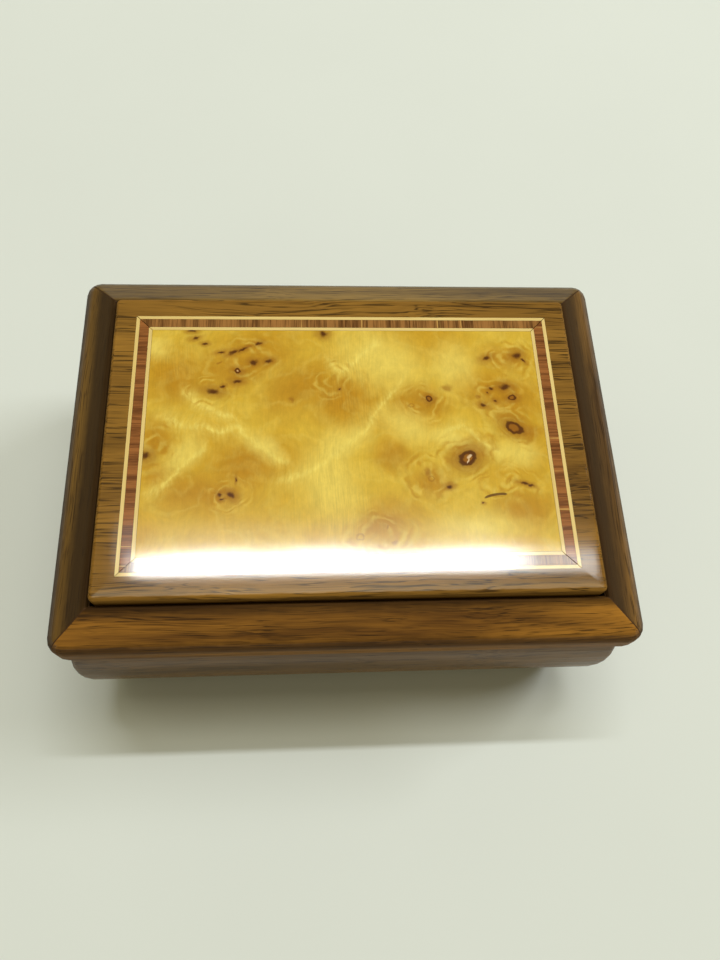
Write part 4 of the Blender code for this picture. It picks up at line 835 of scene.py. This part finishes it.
# Burl field: one sheet of golden burl veneer, full of dark eyes in clusters, pale silky veins
# and amber clouds. It is glued down, levelled and lacquered, so it is as flat as glass.
# Spots are given by their place, their two half-widths and their lean in degrees.
DARK_EYES_MM = (
    (-43.1, 33.2, 0.9, 0.5, 0), (-41.8, 30.8, 0.9, 0.45, 15), (-39.3, 29.0, 0.6, 0.45, 0),
    (-34.7, 26.2, 0.8, 0.4, 10), (-31.3, 26.1, 1.2, 0.45, 25), (-28.8, 26.9, 1.4, 0.4, 25),
    (-24.3, 29.0, 0.8, 0.45, 20), (-25.6, 22.9, 0.85, 0.6, 0), (-21.5, 23.4, 0.85, 0.55, 10),
    (-30.0, 16.8, 1.0, 0.6, 0), (-33.8, 15.2, 0.6, 0.35, 20), (-36.5, 13.7, 1.5, 0.8, -10),
    (-6.1, 32.4, 1.0, 0.8, -20), (-2.0, 14.3, 0.3, 0.3, 0), (-53.3, -5.4, 1.1, 1.0, 0),
    (-33.6, -16.7, 0.6, 0.45, 0), (-30.9, -16.9, 1.0, 0.6, -45), (-33.0, -18.1, 0.5, 0.3, 0),
    (-29.6, -12.5, 0.2, 0.5, 0), (40.0, 24.3, 1.0, 0.6, 25), (49.0, 25.3, 1.1, 0.85, 30),
    (50.6, 23.6, 0.8, 0.35, -40), (44.4, 14.9, 1.2, 0.75, 0), (40.4, 14.4, 0.55, 0.4, 0),
    (39.4, 13.1, 0.3, 0.25, 0), (37.8, 9.1, 0.8, 0.45, -20), (41.3, 10.6, 0.5, 0.45, 0),
    (26.3, -15.2, 0.75, 0.5, 10), (46.6, -14.4, 1.2, 0.35, -15), (48.3, -15.1, 0.8, 0.3, -20),
    (35.0, -19.8, 0.3, 0.25, 0))
FAINT_EYES_MM = (
    (-35.0, 22.7, 0.9, 0.3, 20), (-27.1, 27.9, 1.0, 0.5, 25), (-15.2, 11.0, 0.7, 1.0, 20),
    (36.5, 11.7, 0.7, 0.6, 0), (9.3, -26.0, 0.3, 0.7, 0), (10.9, -30.4, 1.0, 0.5, 0),
    (20.8, -10.9, 0.9, 1.3, 15), (28.0, 14.5, 1.6, 1.2, 0))
RING_EYES_MM = (
    (-29.9, 20.1, 0.8, 0.7, 0), (46.1, 11.5, 0.9, 0.65, 0), (45.6, 2.2, 2.1, 1.35, -30),
    (31.9, -6.9, 2.0, 1.6, 30), (22.6, 11.1, 0.75, 0.75, 0))
FAINT_RINGS_MM = ((2.3, -28.8, 0.9, 0.8, 0), (17.6, 9.2, 0.7, 0.6, 0), (21.6, -12.9, 0.7, 0.7, 0))
HEARTS_MM = ((32.3, -6.3, 1.0, 0.35, 35), (31.9, -7.6, 0.3, 0.9, -10), (-29.9, 20.1, 0.35, 0.3, 0))
AMBER_MM = (
    (-29, 22, 17, 8, 15), (-2, 12, 12, 9, 0), (-14, 15, 12, 9, 30), (-27, -8, 10, 7, 20),
    (-51, 0, 6, 7, 0), (-50, -11, 5, 5, 0), (43, 12, 12, 7, -10), (49, 1.5, 6, 2.2, -10),
    (33, -5, 8, 5, 20), (20, 10, 9, 6, 0), (22, -13, 6, 5, 0), (8, -25, 9, 6, 20), (46, -22, 9, 5, 0),
    (46, 24, 8, 5, 0), (12, -6, 6, 5, 0), (-46, 18, 9, 10, 0), (-40, -16, 14, 6, 0))
PALE_MM = (
    (10, 24, 14, 9, -20), (-5, -15, 8, 14, 10), (16, 3, 10, 5, -25), (-22, -3, 6, 3, -35),
    (-44, -5, 7, 3.5, 45), (27, -1, 9, 3, -20), (30, 22, 7, 8, 10), (46, -6, 7, 4, 0),
    (-2, -2, 10, 5, 30), (-52, 28, 3.5, 4, 0), (34, -26, 12, 4, 0))
SWIRLS_MM = (
    (32, -6.5, 8.5, 6.5, 25), (45, 3, 7, 5, -30), (42, 12, 7, 6, 0), (21, -12, 6, 6, 15),
    (47, 24, 6, 5, 0), (21, 10.5, 6, 4.5, 0), (-37, 14, 6, 4, 10), (-28, 24, 9, 5, 20),
    (-31, -16.5, 5, 4, 0), (43, -15, 8, 4, -10), (-52, -2, 6, 7, 0), (-4, 17, 7, 5, 20),
    (8, -28, 8, 5, 10))
VEINS_MM = (
    ((-54.0, 7.5), (-49.2, 5.6), (-44.4, 3.5), (-38.7, 3.2), (-34.9, 1.6), (-30.3, 3.0), (-27.4, 0.2),
     (-23.1, -3.5), (-18.3, -6.7), (-14.6, -8.8), (-11.0, -13.0)),
    ((-54.0, -17.0), (-48.5, -14.0), (-44.7, -9.0), (-40.7, -5.5), (-36.0, -0.5)),
    ((-46.4, 15.4), (-43.4, 12.7), (-39.5, 9.4), (-33.2, 6.6), (-28.0, 5.0)),
    ((-6.9, 29.1), (-4.5, 22.9), (-1.6, 20.8), (3.5, 24.0), (7.0, 28.0), (12.1, 30.9)),
    ((-22.5, -12.2), (-13.2, -11.9), (-6.6, -7.3), (0.7, -2.1), (5.4, 3.2), (9.1, 8.7), (13.9, 15.4),
     (19.9, 24.0)),
    ((24.7, -0.6), (29.8, 2.0), (33.6, 0.9), (36.2, -2.4), (43.3, -5.6)))
SILK_MM = ((-5, -16, 13, 18, 0), (2, 16, 10, 20, 0), (-48, 24, 8, 10, 0))
STREAK_MM = ((35.0, -18.6), (37.0, -17.8), (39.2, -17.4), (42.0, -17.4))
AMBER = (178, 126, 28)
GOLD = (198, 154, 42)
PALE_GOLD = (210, 174, 60)
CREAM = (232, 210, 106)
EYE_DARK = (84, 44, 14)
EYE_BROWN = (148, 94, 26)
EYE_HEART = (226, 198, 160)
BROAD_VEIN_MM = 5.5
THIN_VEIN_MM = 1.6
STREAK_WIDTH_MM = 0.6
SHEET_COLUMNS = 60
SHEET_ROWS = 40
RIPPLE = 0.004 * MM
burl_low, burl_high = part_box("burl_field")
burl_low = burl_low - half_joint
burl_high = burl_high + half_joint
burl_size = burl_high - burl_low


def make_spot_distance():
    """How far a place is from an oval spot, where 1 is the spot's edge."""
    group, given, out = new_group(
        "spot_distance",
        [("Vector", "Vector", None), ("Centre", "Vector", None), ("Reach", "Vector", None),
         ("Lean", "Float", 0.0)],
        [("Distance", "Float")])
    away = vector_of(group, "SUBTRACT", given["Vector"], given["Centre"])
    away = add_node(group, "VectorRotate", {"Vector": away, "Angle": given["Lean"]},
                    rotation_type="Z_AXIS").outputs[0]
    away = vector_of(group, "DIVIDE", away, given["Reach"])
    length = add_node(group, "VectorMath", {0: away}, operation="LENGTH")
    plug(out["Distance"], length.outputs["Value"])
    return group


spot_distance = make_spot_distance()


def nearest_spot(tree, place, spots):
    """Distance to the nearest of many spots."""
    nearest = None
    for x, y, across, along, lean in spots:
        made = add_node(tree, "Group", {"Vector": place, "Centre": (x, y, 0), "Reach": (across, along, 1e6),
                                        "Lean": -math.radians(lean)}, node_tree=spot_distance)
        distance = made.outputs["Distance"]
        nearest = distance if nearest is None else math_of(tree, "MINIMUM", nearest, distance)
    return nearest


def field_shares(tree, place):
    """Where a place lies on the field, from 0 to 1 along it and across it."""
    parts = add_node(tree, "SeparateXYZ", {0: place}).outputs
    return [math_of(tree, "DIVIDE", minus(tree, parts[axis], low / MM), length / MM)
            for axis, low, length in (("X", burl_low.x, burl_size.x), ("Y", burl_low.y, burl_size.y))]


def course_curve(tree, value, points):
    made = add_node(tree, "FloatCurve", {"Value": value})
    curve = made.mapping.curves[0]
    curve.points[0].location = points[0]
    curve.points[1].location = points[-1]
    for x, y in points[1:-1]:
        curve.points.new(x, y)
    made.mapping.update()
    return made.outputs["Value"]


def vein_strength(tree, along, across, points, width):
    """1 on a vein's line, which runs over the field from its first point to its last."""
    shares = [((x * MM - burl_low.x) / burl_size.x, (y * MM - burl_low.y) / burl_size.y) for x, y in points]
    start = max(shares[0][0], 0.0)
    end = min(shares[-1][0], 1.0)
    taper = (end - start) * 0.2
    line = course_curve(tree, along, [(min(max(a, 0.0), 1.0), min(max(b, 0.0), 1.0)) for a, b in shares])
    near = step_between(tree, apart(tree, across, line), width * MM / burl_size.y, 0.0)
    first = step_between(tree, along, start - taper * 0.2, start + taper)
    last = step_between(tree, along, end, end - taper)
    return times(tree, near, times(tree, first, last))


def cloud_colour(tree, place, curled):
    """Gold that is paler here and there, with amber and cream clouds."""
    soft = shifted(tree, place, 0.16, 5.0, 4)
    cloud = step_between(tree, noise(tree, curled, 0.045, 2, 0.4), 0.30, 0.62)
    colour = mixed(tree, cloud, paint(GOLD), paint(PALE_GOLD))
    for spots, strength, stain in ((AMBER_MM, 0.8, AMBER), (PALE_MM, 0.65, CREAM)):
        cloud = step_between(tree, nearest_spot(tree, soft, spots), 1.5, 0.1)
        colour = stained(tree, colour, cloud, strength, stain)
    return colour


def vein_glow(tree, ragged, curled):
    """Light in broad veins with a thin core, feathered across, and in loose wisps elsewhere."""
    along, across = field_shares(tree, ragged)
    glow = 0.0
    for points in VEINS_MM:
        broad = vein_strength(tree, along, across, points, BROAD_VEIN_MM)
        thin = vein_strength(tree, along, across, points, THIN_VEIN_MM)
        glow = math_of(tree, "MAXIMUM", glow, weighed(tree, (broad, 0.55), (thin, 0.5)))
    feather = times(tree, minus(tree, noise(tree, curled, (1.3, 0.30, 1), 4, 0.65), 0.18), 1.9)
    glow = times(tree, glow, feather, clamp=True)
    wisps = noise(tree, shifted(tree, curled, 0.2, 5.0, 3), (0.07, 0.10, 0.07), 2)
    wisps = step_between(tree, apart(tree, wisps, 0.5), 0.07, 0.0)
    wisps = times(tree, wisps, times(tree, feather, 0.2))
    return math_of(tree, "MAXIMUM", glow, wisps, clamp=True)


def curl_rings(tree, place):
    """Fine curls round some of the eyes, bent and broken so that none is a whole ring."""
    bent = shifted(tree, shifted(tree, place, 0.11, 9.0, 2), 0.4, 2.2, 3)
    whirl = nearest_spot(tree, bent, SWIRLS_MM)
    rings = math_of(tree, "SINE", times(tree, whirl, 15.0))
    broken = step_between(tree, noise(tree, place, 0.22, 2), 0.42, 0.62)
    return times(tree, rings, times(tree, broken, step_between(tree, whirl, 1.7, 0.7)))


def silk_shine(tree, place, ragged, curled):
    """Close streaks of light and shade across the sheet, stronger where the fibres stand on end."""
    fibres = vector_of(tree, "ADD", place, vector_of(tree, "MULTIPLY", curled, (0.5, 0, 0)))
    silk = minus(tree, noise(tree, fibres, (1.7, 0.14, 1), 3, 0.65), 0.5)
    silky = step_between(tree, nearest_spot(tree, ragged, SILK_MM), 1.2, 0.3)
    silky = plus(tree, times(tree, silky, 0.40), 0.16)
    satin = minus(tree, noise(tree, curled, (0.5, 0.3, 1), 5, 0.7), 0.5)
    return plus(tree, plus(tree, times(tree, silk, silky), times(tree, satin, 0.46)), 1.0)


def with_eyes(tree, colour, place):
    """Dark eyes in brown halos, some of them rings with a pale heart, and one thin streak."""
    rough_edge = shifted(tree, place, 0.5, 1.7, 4)
    solid, faint, ring, faint_ring, hearts = [
        nearest_spot(tree, rough_edge, spots)
        for spots in (DARK_EYES_MM, FAINT_EYES_MM, RING_EYES_MM, FAINT_RINGS_MM, HEARTS_MM)]
    growth = math_of(tree, "SINE", times(tree, ring, 9.0))
    growth = times(tree, step_between(tree, growth, 0.2, 1.0), step_between(tree, ring, 3.4, 1.4))
    colour = stained(tree, colour, growth, 0.22, EYE_BROWN)
    streak = vein_strength(tree, *field_shares(tree, place), STREAK_MM, STREAK_WIDTH_MM)
    for value, start, end, strength, stain in (
            (math_of(tree, "MINIMUM", solid, ring), 4.2, 0.8, 0.62, EYE_BROWN),
            (faint, 1.5, 0.3, 0.6, EYE_BROWN),
            (ring, 1.1, 0.7, 1.0, EYE_BROWN),
            (solid, 1.6, 0.4, 0.95, EYE_DARK),
            (apart(tree, ring, 1.0), 0.5, 0.15, 0.92, EYE_DARK),
            (apart(tree, faint_ring, 1.0), 0.5, 0.1, 0.45, EYE_BROWN),
            (hearts, 1.1, 0.6, 0.85, EYE_HEART),
            (streak, 0.1, 0.6, 0.85, EYE_DARK)):
        colour = stained(tree, colour, step_between(tree, value, start, end), strength, stain)
    return colour


def make_burl():
    material, tree, shader, place = start_material("golden_burl")
    place = vector_of(tree, "MULTIPLY", place, (1 / MM, 1 / MM, 0))
    curled = shifted(tree, place, 0.06, 8.0, 1)
    ragged = shifted(tree, shifted(tree, place, 0.14, 3.2, 2), 0.6, 1.8, 4)
    colour = cloud_colour(tree, place, curled)
    colour = mixed(tree, vein_glow(tree, ragged, curled), colour, paint(CREAM))
    rings = curl_rings(tree, place)
    colour = stained(tree, colour, rings, 0.55, AMBER)
    colour = stained(tree, colour, rings, -0.3, CREAM)
    shine = silk_shine(tree, place, ragged, curled)
    colour = scaled(tree, colour, shine)
    set_shader(shader, Base_Color=with_eyes(tree, colour, place))
    set_lacquer(shader)
    return material


def make_burl_sheet():
    """Levelled veneer: flat but for a waviness of a few thousandths of a millimetre."""
    form = bmesh.new()
    edge = KNIFE_CUT / 2
    low = burl_low + Vector((edge, edge, -VENEER_SINK))
    high = burl_high - Vector((edge, edge, 0))
    grid = []
    for j in range(SHEET_ROWS + 1):
        line = []
        for i in range(SHEET_COLUMNS + 1):
            x = low.x + (high.x - low.x) * i / SHEET_COLUMNS
            y = low.y + (high.y - low.y) * j / SHEET_ROWS
            wave = math.sin(x * 190 + 2 * math.sin(y * 120)) + math.sin(y * 260 + 1.5 * math.sin(x * 90))
            line.append(form.verts.new((x, y, high.z - RIPPLE * (2 + wave))))
        grid.append(line)
    for lower, upper in zip(grid, grid[1:]):
        for i in range(SHEET_COLUMNS):
            form.faces.new((lower[i], lower[i + 1], upper[i + 1], upper[i]))
    rim = grid[0] + [line[-1] for line in grid[1:]] + grid[-1][-2::-1] + [line[0] for line in grid[-2:0:-1]]
    under = [form.verts.new((vert.co.x, vert.co.y, low.z)) for vert in rim]
    for k in range(len(rim)):
        n = (k + 1) % len(rim)
        form.faces.new((rim[n], rim[k], under[k], under[n]))
    form.faces.new(list(reversed(under)))
    fasten(add_piece(form, "burl_sheet", make_burl(), crease=30), "lid", "burl_field")


make_burl_sheet()

# Lid pad: thin foam under wine velvet, tucked in behind the frame's ledge. It stops the
# jewelry rattling, and presses the movement's stop lever down when the lid shuts.
PAD_SLACK = 0.35 * MM
PAD_SWELL = 0.525 * MM
PAD_SQUARENESS = 14
PAD_RIM = 0.12
PAD_CLEAR = 0.02 * MM
PAD_SAG = 0.25 * MM


def make_lid_pad():
    low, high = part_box("lid_lining")
    form = bmesh.new()
    bmesh.ops.create_grid(form, x_segments=60, y_segments=40, size=0.5)
    for point in form.verts:
        fullness = 1.0
        for share in (abs(point.co.x) * 2, abs(point.co.y) * 2):
            fullness *= (1 - share ** PAD_SQUARENESS) ** 0.5
        point.co.x *= high.x - low.x - 2 * PAD_SLACK
        point.co.y *= high.y - low.y - 2 * PAD_SLACK
        point.co.z = high.z - (high.z - low.z - PAD_SLACK) * max(fullness, PAD_RIM)
    top = bmesh.ops.extrude_face_region(form, geom=list(form.faces))
    for item in top["geom"]:
        if isinstance(item, bmesh.types.BMVert):
            item.co.z = high.z
    piece = add_piece(form, "lid_pad", velvet)
    swell(piece, 1.2 * MM, 4.0, PAD_SWELL)
    keep_inside(piece, low + Vector((PAD_CLEAR, PAD_CLEAR, -PAD_SAG)), high)
    fasten(piece, "lid", "lid_lining")


make_lid_pad()

# Hinges: a pair of solid brass butts let into the back, each with a steel pin and four
# countersunk brass screws.
for name in solids:
    if name.startswith("hinge_"):
        dress([name], bright_steel if "pin" in name else plain_brass)

# Setting: pale paper in a dim, warm room, under one long lamp that hangs high up and a little
# behind the box. Its right end is dimmer and fades into a tail, with a faint glow along it. A
# wide soft lamp beside it and one far to the right light the rest.
FLOOR_COLOUR = (220, 225, 223)
FLOOR_SHADES = (0.97, 1.02)
FLOOR_SIZE = 2.6
FLOOR_DROP = 0.2 * MM
LAMP_HEIGHT = 2.1
OVER_LAMP = LAMP_HEIGHT + 0.03
LAMP_X = 0.052
LAMP_Y = 0.587
LAMP_DEPTH = 0.062
LAMP_COLOUR = (0.97, 1.0, 0.99)
SOFT_COLOUR = (1.0, 0.94, 0.70)
ROOM_COLOUR = (0.235, 0.212, 0.125, 1)
HORIZON_COLOUR = (0.68, 0.70, 0.62, 1)


def make_floor():
    form = bmesh.new()
    bmesh.ops.create_grid(form, x_segments=4, y_segments=4, size=FLOOR_SIZE / 2)
    material, tree, shader, place = start_material("pale_paper")
    darker, lighter = [[value * share for value in paint(FLOOR_COLOUR)[:3]] + [1] for share in FLOOR_SHADES]
    set_shader(shader, Base_Color=mixed(tree, noise(tree, place, 9, 3), darker, lighter), Roughness=0.9,
               Specular_IOR_Level=0.1)
    floor = add_piece(form, "paper", material, turn_out=False)
    floor.location.z = -FLOOR_DROP


def add_lamp(name, place, size, radiance, aim=None, colour=LAMP_COLOUR):
    """Rectangular lamp of a given brightness that faces a point, or else straight down."""
    lamp = bpy.data.lights.new(name, "AREA")
    lamp.shape = "RECTANGLE"
    lamp.size, lamp.size_y = size
    lamp.energy = radiance * math.pi * size[0] * size[1]
    lamp.color = colour
    item = bpy.data.objects.new(name, lamp)
    item.location = place
    away = Vector(place) - Vector(aim or (place[0], place[1], 0))
    item.rotation_euler = away.to_track_quat("Z", "Y").to_euler()
    bpy.context.collection.objects.link(item)


make_floor()
add_lamp("long_lamp", (LAMP_X, LAMP_Y, LAMP_HEIGHT), (1.116, LAMP_DEPTH), radiance=80.0)
add_lamp("lamp_end", (0.635, LAMP_Y, LAMP_HEIGHT), (0.05, LAMP_DEPTH), radiance=32.0)
add_lamp("lamp_tail", (0.79, 0.585, OVER_LAMP), (0.30, 0.085), radiance=17.0)
add_lamp("lamp_glow", (-0.02, 0.67, OVER_LAMP), (1.15, 0.12), radiance=2.0)
add_lamp("soft_lamp", (LAMP_X, 0.215, OVER_LAMP), (2.0, 0.53), radiance=3.3, aim=(LAMP_X, -1.2, 0),
         colour=SOFT_COLOUR)
add_lamp("right_lamp", (2.15, 0.75, LAMP_HEIGHT), (1.18, 0.49), radiance=17.5, aim=(0, 0, 0))


def light_room():
    """A dim warm room, pale only where it meets the floor."""
    world = bpy.data.worlds.new("room")
    bpy.context.scene.world = world
    world.use_nodes = True
    tree = world.node_tree
    ahead = add_node(tree, "TexCoord").outputs["Generated"]
    height = add_node(tree, "SeparateXYZ", {0: ahead}).outputs["Z"]
    plug(tree.nodes["Background"].inputs["Color"],
         mixed(tree, step_between(tree, height, 0.06, 0.3), HORIZON_COLOUR, ROOM_COLOUR))


light_room()
bpy.context.scene.view_settings.view_transform = "Standard"

# Camera: held above and a little to the left of the box, looking steeply down at it and
# turned slightly, as the photograph shows it.
CAMERA_PLACE = (-0.01185, -0.09393, 0.2603)
CAMERA_DOWN = math.radians(66.64)
CAMERA_YAW = math.radians(-10.18)
CAMERA_ROLL = math.radians(8.80)
CAMERA_LENS_MM = 29.6
CAMERA_SENSOR_MM = 36.0


def place_camera():
    yaw = Matrix.Rotation(CAMERA_YAW, 3, "Z")
    ahead = yaw @ Vector((0, math.cos(CAMERA_DOWN), -math.sin(CAMERA_DOWN)))
    up = yaw @ Vector((0, math.sin(CAMERA_DOWN), math.cos(CAMERA_DOWN)))
    right = yaw @ Vector((1, 0, 0))
    across = right * math.cos(CAMERA_ROLL) + up * math.sin(CAMERA_ROLL)
    upright = up * math.cos(CAMERA_ROLL) - right * math.sin(CAMERA_ROLL)
    turn = Matrix((across, upright, -ahead)).transposed()
    data = bpy.data.cameras.new("camera")
    data.lens = CAMERA_LENS_MM
    data.sensor_width = CAMERA_SENSOR_MM
    data.clip_start = 0.01
    data.clip_end = 20.0
    camera = bpy.data.objects.new("camera", data)
    camera.matrix_world = Matrix.Translation(CAMERA_PLACE) @ turn.to_4x4()
    bpy.context.collection.objects.link(camera)
    bpy.context.scene.camera = camera


place_camera()
